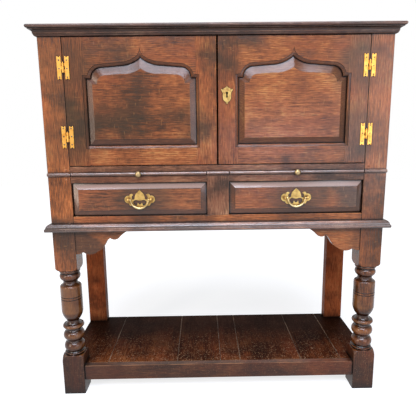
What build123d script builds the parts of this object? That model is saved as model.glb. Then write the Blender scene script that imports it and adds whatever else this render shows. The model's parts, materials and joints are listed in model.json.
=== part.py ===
"""Joined oak court cupboard: two panelled doors over two drawers with candle slides, on turned legs and a potboard.

Row frame in millimetres: +Z up from the floor, +X to the right of someone facing the doors, the doors face -Y,
and the origin is on the floor under the middle of the whole piece.
"""

from math import cos, radians, sin
import os

from build123d import *

os.makedirs("parts", exist_ok=True)

# ------------------------------------------------------------------ driving sizes: the case
case_width = 1132.0           # over the posts
case_depth = 416.0            # front of the front posts to the back of the back posts
post = 76.0                   # square of a front post, and width of a back post
back_post_depth = 40.0
waist_height = 611.0          # floor to the underside of the drawer case
bottom_rail_height = 49.5
drawer_opening = 113.5
drawer_rail_height = 23.0
slide_slot = 12.0
door_rail_height = 20.0
door_opening = 408.0
top_rail_height = 17.0
top_thickness = 16.0

rail_depth = 36.0             # front rails and the muntin, front to back
top_rail_depth = 64.0
muntin_width = 73.0
muntin_tenon = 12.0           # in the bottom rail, and the drawer rails' in the muntin
muntin_top_tenon = 9.0
muntin_shoulder = 10.0
tenon_length = 35.0
back_tenon_length = 26.0
tenon_thickness = 10.0
tenon_set = 14.0              # front face of a front post to its mortise
tenon_shoulder = 3.0
peg_radius = 4.0
peg_length = 34.0
peg_offset = 14.0             # joint shoulder to the peg

side_rail_thickness = 24.0
side_rail_recess = 2.0
side_bottom_rail_height = 60.0
side_top_rail_height = 70.0
panel_groove = 7.0
groove_depth = 8.0
groove_play = 0.25
groove_end_play = 0.5
side_bevel = 25.0
side_bevel_rise = 4.5
field_step = 1.3

back_rail_thickness = 22.0
back_top_rail_height = 60.0
back_board_thickness = 10.0
back_board_count = 6
board_gap = 0.8
back_board_lap = 10.0

# ------------------------------------------------------------------ driving sizes: mouldings, brackets, potboard
cornice_reach = 26.0          # how far the top stands out over the posts
cornice_nosing = 11.0
cornice_height = 33.0         # underside of the bed moulding to the top
bed_reach = 20.0
top_board_count = 3
waist_reach = 20.0
waist_moulding_height = 26.0
bead_reach = 7.0
mitre_gap = 0.2

bracket_length = 185.0
bracket_drop = 84.5
bracket_thickness = 22.0
bracket_recess = 3.0
# its lower edge from the post to the rail, as shares of its length and its drop; two points to each curve
bracket_edge = (
    (0.0, 0.988),
    ((0.070, 0.970), (0.132, 0.905)),     # foot on the post
    ((0.254, 1.0), (0.400, 0.882)),       # lower lobe
    ((0.514, 0.698), (0.578, 0.462)),     # hollow
    ((0.610, 0.386), (0.643, 0.325)),     # nick
    ((0.735, 0.391), (0.827, 0.272)),     # upper lobe
    ((0.910, 0.120), (1.0, 0.0)),         # long taper to the rail
)

potboard_height = 106.0
potboard_rail_height = 55.0
potboard_rail_depth = 36.0
potboard_recess = 6.5
potboard_lip = 22.0
potboard_board = 16.0
potboard_joints = (-0.721, -0.272, 0.011, 0.141, 0.537, 0.799)   # shares of half the width
notch_play = 0.4

# ------------------------------------------------------------------ driving sizes: the turned leg
lower_block = 150.0           # floor to the first turned member
lower_pommel = 30.0
upper_pommel = 16.0
turning_root = 33.0
barrel_radius = 37.2
# each member from the bottom up: height, radius at its middle, radius at its top
turning = (
    (7.0, 36.0, 31.0),        # ring over the block
    (3.0, None, 29.0),        # fillet
    (34.0, 36.5, 29.0),       # lower bead
    (9.0, 26.5, 28.5),        # neck
    (33.0, 37.2, 28.0),       # ball
    (11.0, 25.5, 27.5),       # neck
    (15.0, 37.2, 26.5),       # thin disc
    (14.0, 22.5, 21.5),       # throat
    (34.0, 32.5, barrel_radius),
    (47.0, None, barrel_radius),
    (3.0, 35.2, barrel_radius),   # scribed ring
    (6.0, None, barrel_radius),
    (3.0, 35.2, barrel_radius),   # scribed ring
    (34.0, None, barrel_radius),
    (10.0, 35.6, 31.0),       # barrel shoulder
    (20.0, 24.5, 31.0),       # neck
    (34.0, 37.2, 33.0),       # upper bead
)

# ------------------------------------------------------------------ driving sizes: doors
door_gap = 1.8                # hinge edge, head and foot
meeting_gap = 3.4             # the doors have shrunk apart
door_thickness = 22.0
frame_face = 56.5             # stile or bottom rail up to its moulding
ovolo_radius = 8.5
quirk = 1.5
door_groove = 10.0            # front of the frame to its panel groove
door_groove_width = 6.0
door_tenon = 40.0
door_haunch = 14.0            # head or foot of the door to the tenon
arch_drop = 125.5             # head of the door to the arch's shoulders
arch_shoulder = 15.5
haunch_width = 36.0
haunch_height = 34.5
brow_half_width = 64.0
brow_height = 39.5            # shoulders to the start of the ogee
arch_height = 64.0            # shoulders to the point
ogee_sagitta = 5.8
spike_height = 30.0           # carved point over the arch
spike_half_width = 9.0
spike_root = 4.0
spike_waist = 0.45
door_bevel = 20.0
field_depth = 2.0             # door face to the raised field
panel_gap = 0.4               # bevel to the moulding
field_shoulder_drop = 17.0    # the arch's shoulders to those of the field
field_haunch = 27.0
field_brow_drop = 26.0        # the arch's brow to the field's
field_point_drop = 34.0

# ------------------------------------------------------------------ driving sizes: hinges, lock and bolt
hinge_height = 71.0
hinge_leaf_width = 13.0
hinge_leaf_thickness = 2.0
hinge_gap = 12.0              # between the two leaves
knuckle_radius = 3.5
knuckle_length = 9.6
knuckle_play = 0.2
pin_radius = 1.75
pin_play = 0.08
hinge_inset = 57.0            # head of the door to the top of the upper hinge
hinge_foot = 59.0             # foot of the door to the bottom of the lower hinge
hinge_notch = 3.0
pin_stand = 1.0               # pin past the outer knuckles
pin_head = 2.4
pin_taper = 25.0

escutcheon_thickness = 1.6
escutcheon_height = 56.3
key_height = 224.0            # foot of the door to the middle of the keyhole
key_inset = 29.3              # meeting edge of the door to the keyhole
keyhole_round = 4.0
keyhole_foot = 3.3
keyhole_centres = 11.0
keyhole_slot = 4.6
lock_width = 58.0
lock_height = 76.0
lock_depth = 13.0
lock_wall = 2.0
lock_bolt_height = 14.0
lock_bolt_thickness = 5.0
lock_play = 0.3
lock_edge = 1.0               # meeting edge of the door to the lock
drill_pin_radius = 1.5
drill_pin_end = 1.0
talon_width = 9.0
talon_depth = 4.0

door_bolt_radius = 3.5
door_bolt_length = 92.0
door_bolt_inset = 29.0        # meeting edge of the door to the bolt
door_bolt_play = 0.1
door_bolt_seat = 1.5          # between the bolt and its plate
bolt_knob_radius = 4.5
bolt_knob_stand = 5.0
staple_plate = (24.0, 2.0, 78.0)
staple_set = 14.0             # foot of the door to the plate
staple_width = 13.0
staple_height = 8.0
staple_wall = 2.5

# ------------------------------------------------------------------ driving sizes: drawers, slides and brasses
drawer_play = 1.5             # each side
drawer_head_play = 2.0
seat_play = 0.3
drawer_front_thickness = 22.0
drawer_side_thickness = 11.0
drawer_length = 340.0
drawer_side_drop = 3.0
drawer_bottom_thickness = 7.0
drawer_bottom_set = 6.0
drawer_groove_depth = 5.0
drawer_bevel = 20.0
drawer_bevel_rise = 5.0
dovetail_length = 13.0
dovetail_play = 0.1
dovetail_count = 2
dovetail_neck = 0.56          # share of the pitch of the tails
dovetail_flare = 3.7
runner_thickness = 15.0
runner_ledge = 20.0
runner_fence = 18.0

slide_play = 0.3
slide_side_play = 1.5
slide_length = 300.0
floor_thickness = 14.0
shelf_thickness = 14.0
shelf_height = 201.0          # cupboard floor to the underside of the shelf
shelf_setback = 110.0
bearer_width = 20.0
bearer_height = 25.0

knob_radius = 10.0
knob_reach = 16.0
knob_round = 6.2              # domed face of the knob, front to its widest
knob_neck_radius = 4.0
knob_foot_radius = 5.4
knob_foot = 1.2
knob_spigot_radius = 2.0
knob_spigot_length = 6.0

pull_centres = 76.0
pull_plate_thickness = 1.8
pull_stand = 10.5             # drawer face to the bail's axis
pull_post_radius = 3.0
pull_post_play = 0.1
pull_ball_radius = 4.8
pull_stem_radius = 2.4
pull_stem_length = 28.0
pull_nut_radius = 6.0
pull_nut_thickness = 4.0
bail_drop = 30.0
bail_thickness = 4.0
bail_width = 6.6
bail_neck = 3.4
bail_rise = 2.2               # ends of the bail over its axis
bail_round = 1.2
bail_pin_radius = 1.6
bail_pin_play = 0.1
# right half of the pull's backplate, downwards, as shares of the distance between the posts;
# after the first point there are two points to each curve
pull_plate_edge = (
    (0.0, 0.421),
    ((0.086, 0.336), (0.178, 0.237)),     # finial
    ((0.213, 0.125), (0.230, 0.039)),     # side of the middle
    ((0.293, -0.011), (0.349, 0.066)),    # hollow beside the ring
    ((0.336, 0.145), (0.283, 0.197)),
    ((0.368, 0.250), (0.454, 0.164)),     # curl over the post
    ((0.671, 0.0), (0.474, -0.171)),      # round end
    ((0.461, -0.230), (0.414, -0.283)),
    ((0.289, -0.303), (0.184, -0.362)),   # lower scallop
    ((0.066, -0.382), (0.0, -0.461)),     # drop
)
pull_heart = ((0.145, -0.026), (0.0, -0.059), (0.053, -0.184), (0.0, -0.138))
pull_leaf = (0.224, -0.171)
leaf_lean = 35.0
leaf_length = 16.0
leaf_width = 6.4
bail_end_play = 0.6
# right half of the escutcheon, downwards, as shares of its height from the middle of the keyhole
escutcheon_edge = (
    (0.0, 0.497),
    ((0.044, 0.426), (0.133, 0.382)),     # finial
    ((0.195, 0.337), (0.213, 0.266)),
    ((0.258, 0.311), (0.337, 0.293)),     # horn
    ((0.293, 0.195), (0.231, 0.089)),
    ((0.238, -0.071), (0.224, -0.213)),   # side
    ((0.160, -0.337), (0.043, -0.401)),   # foot
)
escutcheon_drop = (0.444, 0.059)          # centre below the keyhole, and radius

# ------------------------------------------------------------------ levels and planes worked out from them
half = case_width / 2
inner = half - post
pull_reach = pull_stand + pull_ball_radius
front_reach = max(cornice_reach, bead_reach + knob_reach, pull_reach)
front = -(case_depth - front_reach) / 2
back = front + case_depth
post_back = front + post
back_post_front = back - back_post_depth

z_drawer = waist_height + bottom_rail_height
z_drawer_top = z_drawer + drawer_opening
z_slide = z_drawer_top + drawer_rail_height
z_slide_top = z_slide + slide_slot
z_door = z_slide_top + door_rail_height
z_door_top = z_door + door_opening
z_frame_top = z_door_top + top_rail_height
z_top = z_frame_top + top_thickness
z_cornice = z_top - cornice_height
z_potboard = potboard_height - potboard_board
z_potrail = potboard_height - potboard_rail_height
muntin_half = muntin_width / 2

side_outer = half - side_rail_recess
side_inner = side_outer - side_rail_thickness
side_middle = (side_outer + side_inner) / 2
back_rail_back = back - back_board_thickness
back_rail_front = back_rail_back - back_rail_thickness


def timber(x, y, z, mode=Mode.ADD):
    """Squared stock that fills the ranges x, y and z, or with Mode.SUBTRACT the room for it."""
    with Locations(((x[0] + x[1]) / 2, (y[0] + y[1]) / 2, (z[0] + z[1]) / 2)):
        Box(x[1] - x[0], y[1] - y[0], z[1] - z[0], mode=mode)


def on_side(side, near, far):
    """Range from near to far on the right for side 1, or the same on the left for side -1."""
    return (min(side * near, side * far), max(side * near, side * far))


def upright(y, x=0.0, z=0.0):
    """Plane that faces the front, with its x to the right and its y up."""
    return Plane(origin=(x, y, z), x_dir=(1, 0, 0), z_dir=(0, -1, 0))


def sideways(x, y=0.0, z=0.0):
    """Plane that faces right, with its x to the back and its y up."""
    return Plane(origin=(x, y, z), x_dir=(0, 1, 0), z_dir=(1, 0, 0))


def curved(points, place):
    """Run of arcs from the first point; each later pair is a point on an arc and the point where it ends."""
    start = place(*points[0])
    for passed, reached in points[1:]:
        end = place(*reached)
        ThreePointArc(start, place(*passed), end)
        start = end


def finish(piece, label):
    """Name a finished piece and write it."""
    piece.part.label = label
    export_step(piece.part, f"parts/{label}.step")


# ------------------------------------------------------------------ joints between posts and rails
front_rail_levels = {
    "bottom_rail": (waist_height, z_drawer),
    "drawer_rails": (z_drawer_top, z_slide),
    "door_rail": (z_slide_top, z_door),
    "top_rail": (z_door_top, z_frame_top),
}
pegged_front_rails = ("bottom_rail", "drawer_rails", "door_rail")
potrail_front = front + potboard_recess
side_rail_levels = (
    (waist_height, waist_height + side_bottom_rail_height),
    (z_drawer_top, z_door),
    (z_frame_top - side_top_rail_height, z_frame_top),
)
side_pot_level = (z_potrail, z_potboard)
back_rail_levels = (
    (waist_height, z_drawer),
    (z_drawer_top, z_door),
    (z_frame_top - back_top_rail_height, z_frame_top),
)
potrail_middle = back - back_post_depth / 2
potrail_back = (potrail_middle - side_rail_thickness / 2, potrail_middle + side_rail_thickness / 2)


def front_tenon(side, level, set_back=tenon_set):
    """Ranges of the tenon at one end of a front rail."""
    y = front + set_back
    return (
        on_side(side, inner, inner + tenon_length),
        (y, y + tenon_thickness),
        (level[0] + tenon_shoulder, level[1] - tenon_shoulder),
    )


def side_tenon(side, level, end):
    """Ranges of the tenon of a side rail in its front post (end 0) or its back post (end 1)."""
    y = (post_back - tenon_length, post_back) if end == 0 else (back_post_front, back_post_front + back_tenon_length)
    x = on_side(side, side_middle - tenon_thickness / 2, side_middle + tenon_thickness / 2)
    return x, y, (level[0] + tenon_shoulder, level[1] - tenon_shoulder)


def back_tenon(side, level):
    """Ranges of the tenon at one end of a back rail."""
    y = back_rail_front + back_rail_thickness / 2
    return (
        on_side(side, inner, inner + back_tenon_length),
        (y - tenon_thickness / 2, y + tenon_thickness / 2),
        (level[0] + tenon_shoulder, level[1] - tenon_shoulder),
    )


def pot_back_tenon(side):
    """Ranges of the tenon at one end of the potboard's back rail."""
    return (
        on_side(side, inner, inner + back_tenon_length),
        (potrail_middle - tenon_thickness / 2, potrail_middle + tenon_thickness / 2),
        (z_potrail + tenon_shoulder, z_potboard - tenon_shoulder),
    )


def front_pegs(mode=Mode.ADD):
    """Riven eight-sided pegs that pin the front rails, seen end-on in the posts' faces."""
    levels = [front_rail_levels[name] for name in pegged_front_rails] + [side_pot_level]
    places = [(side * (inner + peg_offset), (low + high) / 2) for side in (-1, 1) for low, high in levels]
    with BuildSketch(upright(front)) as ends:
        with Locations(*places):
            RegularPolygon(peg_radius, 8)
    extrude(ends.sketch, amount=-peg_length, mode=mode)


def side_pegs(mode=Mode.ADD):
    """The same pegs in the side rails, driven from the outside of the case."""
    levels = list(side_rail_levels) + [side_pot_level]
    for side in (-1, 1):
        for y in (post_back - peg_offset, back_post_front + peg_offset):
            with BuildSketch(sideways(side * half)) as ends:
                with Locations(*[(y, (low + high) / 2) for low, high in levels]):
                    RegularPolygon(peg_radius, 8)
            extrude(ends.sketch, amount=-side * peg_length, mode=mode)


# ------------------------------------------------------------------ side and back grooves for the side panels
side_panel_levels = (
    (side_rail_levels[0][1], side_rail_levels[1][0]),
    (side_rail_levels[1][1], side_rail_levels[2][0]),
)


def side_panel_room(side, play):
    """Space of the side panels' tongues, with play all round, cut from the frame."""
    reach = groove_depth
    for low, high in side_panel_levels:
        timber(
            on_side(side, side_middle - panel_groove / 2, side_middle + panel_groove / 2),
            (post_back - reach + play, back_post_front + reach - play),
            (low - reach + play, high + reach - play),
            mode=Mode.SUBTRACT,
        )


# ------------------------------------------------------------------ front posts, turned below the case
post_y = front + post / 2
corner_radius = post * 0.72
turned_top = lower_block + sum(member[0] for member in turning)

for side, hand in ((-1, "left"), (1, "right")):
    post_x = side * (half - post / 2)
    leg_plane = upright(post_y, post_x)
    leg_axis = Axis((post_x, post_y, 0), (0, 0, 1))
    with BuildPart() as front_post:
        x_range = on_side(side, inner, half)
        timber(x_range, (front, post_back), (0, lower_block))
        timber(x_range, (front, post_back), (turned_top, z_frame_top))
        # the lathe rounds off the corners of the square where it runs into the turning
        with BuildSketch(leg_plane):
            for level, run in ((lower_block, -lower_pommel), (turned_top, upper_pommel)):
                with BuildLine():
                    shoulder_in = (barrel_radius, level)
                    shoulder_out = (corner_radius, level + run)
                    bend = ((barrel_radius + corner_radius) / 2 + 3, level + run * 0.32)
                    ThreePointArc(shoulder_in, bend, shoulder_out)
                    clear = corner_radius + 4
                    Polyline(shoulder_out, (clear, level + run), (clear, level), shoulder_in)
                make_face()
        revolve(axis=leg_axis, mode=Mode.SUBTRACT)
        with BuildSketch(leg_plane):
            with BuildLine():
                level = lower_block
                radius = turning_root
                Line((0, level), (radius, level))
                for height, middle, end in turning:
                    if middle is None:
                        Line((radius, level), (end, level + height))
                    else:
                        ThreePointArc((radius, level), (middle, level + height / 2), (end, level + height))
                    level += height
                    radius = end
                Polyline((radius, level), (0, level), (0, lower_block))
            make_face()
        revolve(axis=leg_axis)
        for name, level_range in front_rail_levels.items():
            timber(*front_tenon(side, level_range), mode=Mode.SUBTRACT)
        timber(*front_tenon(side, side_pot_level), mode=Mode.SUBTRACT)
        for level_range in (*side_rail_levels, side_pot_level):
            timber(*side_tenon(side, level_range, 0), mode=Mode.SUBTRACT)
        side_panel_room(side, 0.0)
        front_pegs(Mode.SUBTRACT)
        side_pegs(Mode.SUBTRACT)
    finish(front_post, f"front_post_{hand}")

# ------------------------------------------------------------------ back posts, plain planks on edge
with BuildPart() as back_posts:
    for side in (-1, 1):
        timber(on_side(side, inner, half), (back_post_front, back), (0, z_frame_top))
        for level_range in (*side_rail_levels, side_pot_level):
            timber(*side_tenon(side, level_range, 1), mode=Mode.SUBTRACT)
        for level_range in back_rail_levels:
            timber(*back_tenon(side, level_range), mode=Mode.SUBTRACT)
        timber(*pot_back_tenon(side), mode=Mode.SUBTRACT)
        side_panel_room(side, 0.0)
    side_pegs(Mode.SUBTRACT)
finish(back_posts, "back_posts")

# ------------------------------------------------------------------ front rails and the muntin between the drawers
muntin_tenon_y = (front + tenon_set, front + tenon_set + tenon_thickness)
muntin_tenon_x = (muntin_shoulder - muntin_half, muntin_half - muntin_shoulder)
muntin_tenons = (
    (muntin_tenon_x, muntin_tenon_y, (z_drawer - muntin_tenon, z_drawer)),
    (muntin_tenon_x, muntin_tenon_y, (z_slide_top, z_slide_top + muntin_top_tenon)),
)
bolt_x = -meeting_gap / 2 - door_bolt_inset
bolt_y = front + door_thickness + staple_plate[1] + door_bolt_radius + door_bolt_seat


def muntin_rail_tenon(side):
    """Ranges of the short tenon of a drawer rail in the muntin."""
    low, high = front_rail_levels["drawer_rails"]
    return (
        on_side(side, muntin_half - muntin_tenon, muntin_half),
        muntin_tenon_y,
        (low + tenon_shoulder, high - tenon_shoulder),
    )


bolt_hole_play = 1.0
for name in ("bottom_rail", "door_rail", "top_rail"):
    low, high = front_rail_levels[name]
    depth = top_rail_depth if name == "top_rail" else rail_depth
    with BuildPart() as rail:
        timber((-inner, inner), (front, front + depth), (low, high))
        for side in (-1, 1):
            timber(*front_tenon(side, (low, high)))
        front_pegs(Mode.SUBTRACT)
        if name == "bottom_rail":
            timber(*muntin_tenons[0], mode=Mode.SUBTRACT)
        if name == "door_rail":
            timber(*muntin_tenons[1], mode=Mode.SUBTRACT)
            with BuildSketch(Plane.XY.offset(z_door)):
                with Locations((bolt_x, bolt_y)):
                    Circle(door_bolt_radius + bolt_hole_play)
            extrude(amount=-door_rail_height, mode=Mode.SUBTRACT)
    finish(rail, name)

with BuildPart() as drawer_rails:
    for side in (-1, 1):
        timber(on_side(side, muntin_half, inner), (front, front + rail_depth), (z_drawer_top, z_slide))
        timber(*front_tenon(side, front_rail_levels["drawer_rails"]))
        timber(*muntin_rail_tenon(side))
    front_pegs(Mode.SUBTRACT)
finish(drawer_rails, "drawer_rails")

with BuildPart() as centre_muntin:
    timber((-muntin_half, muntin_half), (front, front + rail_depth), (z_drawer, z_slide_top))
    for tenon in muntin_tenons:
        timber(*tenon)
    for side in (-1, 1):
        timber(*muntin_rail_tenon(side), mode=Mode.SUBTRACT)
finish(centre_muntin, "centre_muntin")

# ------------------------------------------------------------------ side frames
with BuildPart() as side_rails:
    for side in (-1, 1):
        for level_range in side_rail_levels:
            timber(on_side(side, side_inner, side_outer), (post_back, back_post_front), level_range)
            for end in (0, 1):
                timber(*side_tenon(side, level_range, end))
        side_panel_room(side, 0.0)
    side_pegs(Mode.SUBTRACT)
finish(side_rails, "side_rails")


def raised_field(plane, width, height, bevel, rise, step):
    """Bevels that climb to a flat field with a small step round it, for a rectangular panel or drawer front."""
    with BuildSketch(plane) as foot:
        Rectangle(width, height)
    with BuildSketch(plane.offset(rise)) as field:
        Rectangle(width - 2 * bevel, height - 2 * bevel)
    loft([foot.sketch, field.sketch])
    extrude(field.sketch, amount=step)


tongue = panel_groove / 2 - groove_play
panel_y = (post_back + back_post_front) / 2
panel_run = back_post_front - post_back
with BuildPart() as side_panels:
    for side in (-1, 1):
        for low, high in side_panel_levels:
            reach = groove_depth - groove_end_play
            timber(
                on_side(side, side_middle - tongue, side_middle + tongue),
                (post_back - reach, back_post_front + reach),
                (low - reach, high + reach),
            )
            face = Plane(
                origin=(side * (side_middle + tongue), panel_y, (low + high) / 2),
                x_dir=(0, side, 0),
                z_dir=(side, 0, 0),
            )
            raised_field(face, panel_run, high - low, side_bevel, side_bevel_rise, field_step)
finish(side_panels, "side_panels")

# ------------------------------------------------------------------ back frame and boards
with BuildPart() as back_rails:
    for level_range in back_rail_levels:
        timber((-inner, inner), (back_rail_front, back_rail_back), level_range)
        for side in (-1, 1):
            timber(*back_tenon(side, level_range))
finish(back_rails, "back_rails")

back_board_pitch = 2 * inner / back_board_count
with BuildPart() as back_boards:
    for n in range(back_board_count):
        left_edge = -inner + n * back_board_pitch
        timber(
            (left_edge + board_gap / 2, left_edge + back_board_pitch - board_gap / 2),
            (back_rail_back, back),
            (waist_height + back_board_lap, z_frame_top - back_board_lap),
        )
finish(back_boards, "back_boards")

# ------------------------------------------------------------------ top boards with a nosed edge
nosing_low = z_top - cornice_nosing
top_depth = case_depth + cornice_reach
top_pitch = top_depth / top_board_count
nosing_round = cornice_nosing * 0.45
with BuildPart() as top_boards:
    for n in range(top_board_count):
        y_low = front - cornice_reach + n * top_pitch + (board_gap / 2 if n else 0)
        y_high = front - cornice_reach + (n + 1) * top_pitch - (board_gap / 2 if n < top_board_count - 1 else 0)
        timber((-half - cornice_reach, half + cornice_reach), (y_low, y_high), (nosing_low, z_top))
        timber((-half, half), (max(y_low, front), y_high), (z_frame_top, nosing_low))
    ends = top_boards.edges().filter_by(Axis.Y).filter_by(
        lambda edge: abs(abs(edge.center().X) - half - cornice_reach) < 0.01
    )
    fronts = top_boards.edges().filter_by(Axis.X).filter_by(
        lambda edge: abs(edge.center().Y - front + cornice_reach) < 0.01
    )
    fillet(ends + fronts, radius=nosing_round)
finish(top_boards, "top_boards")

# ------------------------------------------------------------------ cornice bed moulding and waist moulding


def cornice_profile():
    """Cyma at the foot, a fillet, a hollow and a fillet under the nosing; x is outwards and y is up."""
    high = cornice_height - cornice_nosing

    def at(out, up):
        return (out * bed_reach, up * high)

    with BuildLine() as outline:
        Polyline(at(0, 1), at(0, 0), at(0.05, 0))
        ThreePointArc(at(0.05, 0), at(0.325, 0.118), at(0.4, 0.34))
        Polyline(at(0.4, 0.34), at(0.475, 0.34), at(0.475, 0.523))
        ThreePointArc(at(0.475, 0.523), at(0.61, 0.764), at(0.9, 0.873))
        Polyline(at(0.9, 0.873), at(1, 0.873), at(1, 1), at(0, 1))
    make_face(outline.line)


def waist_profile():
    """Ovolo over a square band with a quirk between them; x is outwards and y is up."""

    def at(out, up):
        return (out * waist_reach, up * waist_moulding_height)

    with BuildLine() as outline:
        Line(at(0, 0), at(0.925, 0))
        ThreePointArc(at(0.925, 0), at(1, 0.19), at(0.95, 0.404))
        Line(at(0.95, 0.404), at(0.825, 0.442))
        ThreePointArc(at(0.825, 0.442), at(0.65, 0.788), at(0.125, 1))
        Polyline(at(0.125, 1), at(0, 1), at(0, 0))
    make_face(outline.line)


def mitred_run(profile, reach, low, label):
    """A moulding across the front and back along both sides, mitred at the front corners, as three lengths."""
    overrun = 1.25 * reach
    with BuildPart() as front_length:
        with BuildSketch(Plane(origin=(0, front, low), x_dir=(0, -1, 0), z_dir=(-1, 0, 0))) as section:
            profile()
        extrude(section.sketch, amount=half + overrun, both=True)
        for side in (-1, 1):
            corner = Plane(origin=(side * (half - mitre_gap), front, 0), x_dir=(0, 0, 1), z_dir=(side, 1, 0))
            split(bisect_by=corner, keep=Keep.BOTTOM)
    with BuildPart() as side_length:
        with BuildSketch(Plane(origin=(half, back, low), x_dir=(1, 0, 0), z_dir=(0, -1, 0))) as section:
            profile()
        extrude(section.sketch, amount=case_depth + overrun)
        split(bisect_by=Plane(origin=(half, front, 0), x_dir=(0, 0, 1), z_dir=(1, 1, 0)), keep=Keep.TOP)
    with BuildPart() as moulding:
        add(front_length.part)
        add(side_length.part)
        mirror(side_length.part, about=Plane.YZ)
    finish(moulding, label)


mitred_run(cornice_profile, bed_reach, z_cornice, "cornice")
mitred_run(waist_profile, waist_reach, waist_height, "waist_moulding")

# ------------------------------------------------------------------ beads on the posts and muntin beside the slides
bead_radius = slide_slot / 2
with BuildPart() as front_beads:
    for centre, width in ((-(half + inner) / 2, post), (0, muntin_width), ((half + inner) / 2, post)):
        bead_plane = sideways(centre, front, z_slide + bead_radius)
        with BuildSketch(bead_plane):
            with BuildLine():
                flat = bead_reach - bead_radius
                Polyline((-flat, bead_radius), (0, bead_radius), (0, -bead_radius), (-flat, -bead_radius))
                ThreePointArc((-flat, -bead_radius), (-bead_reach, 0), (-flat, bead_radius))
            make_face()
        extrude(amount=width / 2, both=True)
finish(front_beads, "front_beads")

# ------------------------------------------------------------------ brackets under the case
for side, hand in ((-1, "left"), (1, "right")):
    with BuildPart() as bracket:
        with BuildSketch(upright(front + bracket_recess, 0, waist_height)):
            with BuildLine():
                def on_bracket(run, drop):
                    return (side * (inner - run * bracket_length), -drop * bracket_drop)

                curved(bracket_edge, on_bracket)
                Polyline(on_bracket(1, 0), on_bracket(0, 0), on_bracket(*bracket_edge[0]))
            make_face()
        extrude(amount=-bracket_thickness)
    finish(bracket, f"bracket_{hand}")

# ------------------------------------------------------------------ potboard
potrail_rear = potrail_front + potboard_rail_depth
with BuildPart() as potboard_front_rail:
    timber((-inner, inner), (potrail_front, potrail_rear), (z_potrail, potboard_height))
    rebate = (potrail_front + potboard_lip, potrail_rear)
    timber((-inner, inner), rebate, (z_potboard, potboard_height), Mode.SUBTRACT)
    for side in (-1, 1):
        timber(*front_tenon(side, side_pot_level))
    front_pegs(Mode.SUBTRACT)
finish(potboard_front_rail, "potboard_front_rail")

with BuildPart() as potboard_side_rails:
    for side in (-1, 1):
        timber(on_side(side, side_inner, side_outer), (post_back, back_post_front), side_pot_level)
        for end in (0, 1):
            timber(*side_tenon(side, side_pot_level, end))
    side_pegs(Mode.SUBTRACT)
finish(potboard_side_rails, "potboard_side_rails")

with BuildPart() as potboard_back_rail:
    timber((-inner, inner), potrail_back, side_pot_level)
    for side in (-1, 1):
        timber(*pot_back_tenon(side))
finish(potboard_back_rail, "potboard_back_rail")

with BuildPart() as potboard_boards:
    edges = (-half, *[share * half for share in potboard_joints], half)
    for left_edge, right_edge in zip(edges[:-1], edges[1:]):
        timber(
            (left_edge + board_gap / 2, right_edge - board_gap / 2),
            (potrail_front + potboard_lip + notch_play, back),
            (z_potboard, potboard_height),
        )
    for side in (-1, 1):
        for y_range in ((front, post_back + notch_play), (back_post_front - notch_play, back)):
            timber(on_side(side, inner - notch_play, half), y_range, (z_potboard, potboard_height), Mode.SUBTRACT)
finish(potboard_boards, "potboard_boards")

# ------------------------------------------------------------------ inside the cupboard: floor, shelf, runners
cupboard_front = front + rail_depth
floor_low = z_door - floor_thickness


def clear_of_posts(low, high, play):
    """Cut a board back round the four posts."""
    for side in (-1, 1):
        for y_range in ((front, post_back + play), (back_post_front - play, back)):
            timber(on_side(side, inner - play, half), y_range, (low, high), Mode.SUBTRACT)


inside_width = (notch_play - side_inner, side_inner - notch_play)
with BuildPart() as cupboard_floor:
    timber(inside_width, (cupboard_front, back_rail_front), (floor_low, z_door))
    clear_of_posts(floor_low, z_door, notch_play)
finish(cupboard_floor, "cupboard_floor")

z_shelf = z_door + shelf_height
with BuildPart() as cupboard_shelf:
    timber(
        inside_width,
        (front + shelf_setback, back_rail_back),
        (z_shelf, z_shelf + shelf_thickness),
    )
    clear_of_posts(z_shelf, z_shelf + shelf_thickness, notch_play)
finish(cupboard_shelf, "cupboard_shelf")

with BuildPart() as shelf_bearers:
    for side in (-1, 1):
        timber(
            on_side(side, inner - bearer_width, inner),
            (post_back - bearer_width, back_rail_back),
            (z_shelf - bearer_height, z_shelf),
        )
finish(shelf_bearers, "shelf_bearers")


def runner_set(low, seat, fence_top, ledge, play):
    """Side and middle runners: a ledge under the drawer or slide and a fence that steers it."""
    fence = muntin_half - play
    side_fence = inner + play
    span = (cupboard_front, back_rail_front)
    timber((-muntin_half - ledge, muntin_half + ledge), span, (low, seat))
    timber((-fence, fence), span, (seat, fence_top))
    for side in (-1, 1):
        timber(on_side(side, inner - ledge, side_inner), span, (low, seat))
        timber(on_side(side, side_fence, side_inner), span, (seat, fence_top))
    clear_of_posts(low, fence_top, notch_play)


with BuildPart() as drawer_runners:
    runner_set(z_drawer - runner_thickness, z_drawer, z_drawer + runner_fence, runner_ledge, drawer_play / 2)
finish(drawer_runners, "drawer_runners")

with BuildPart() as slide_runners:
    runner_set(z_slide - runner_thickness * 0.8, z_slide, floor_low, runner_ledge * 0.75, slide_side_play / 2)
finish(slide_runners, "slide_runners")

# ------------------------------------------------------------------ tenon pegs
with BuildPart() as tenon_pegs:
    front_pegs()
    side_pegs()
finish(tenon_pegs, "tenon_pegs")

# ------------------------------------------------------------------ doors
door_left = inner - door_gap
door_right = meeting_gap / 2
door_width = door_left - door_right
door_middle = (door_left + door_right) / 2
door_low = z_door + door_gap
door_high = z_door_top - door_gap
sticking = ovolo_radius + quirk
sight_half = door_width / 2 - frame_face - sticking
sight_low = door_low + frame_face + sticking
arch_low = door_high - arch_drop
ovolo_steps = (0, 30, 60, 90)


def ogee_face(corner, shoulder, haunch, brow, point):
    """Panel shape with a square foot, shoulders, quarter-round haunches and an ogee point, mirrored about x = 0."""
    with BuildLine() as outline:
        Polyline((0, corner[1]), corner, (corner[0], shoulder[1]), shoulder)
        TangentArc(shoulder, haunch, tangent=(0, 1))
        Line(haunch, brow)
        SagittaArc(brow, point, -ogee_sagitta)
        mirror(about=Plane.YZ)
    make_face(outline.line)


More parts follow.
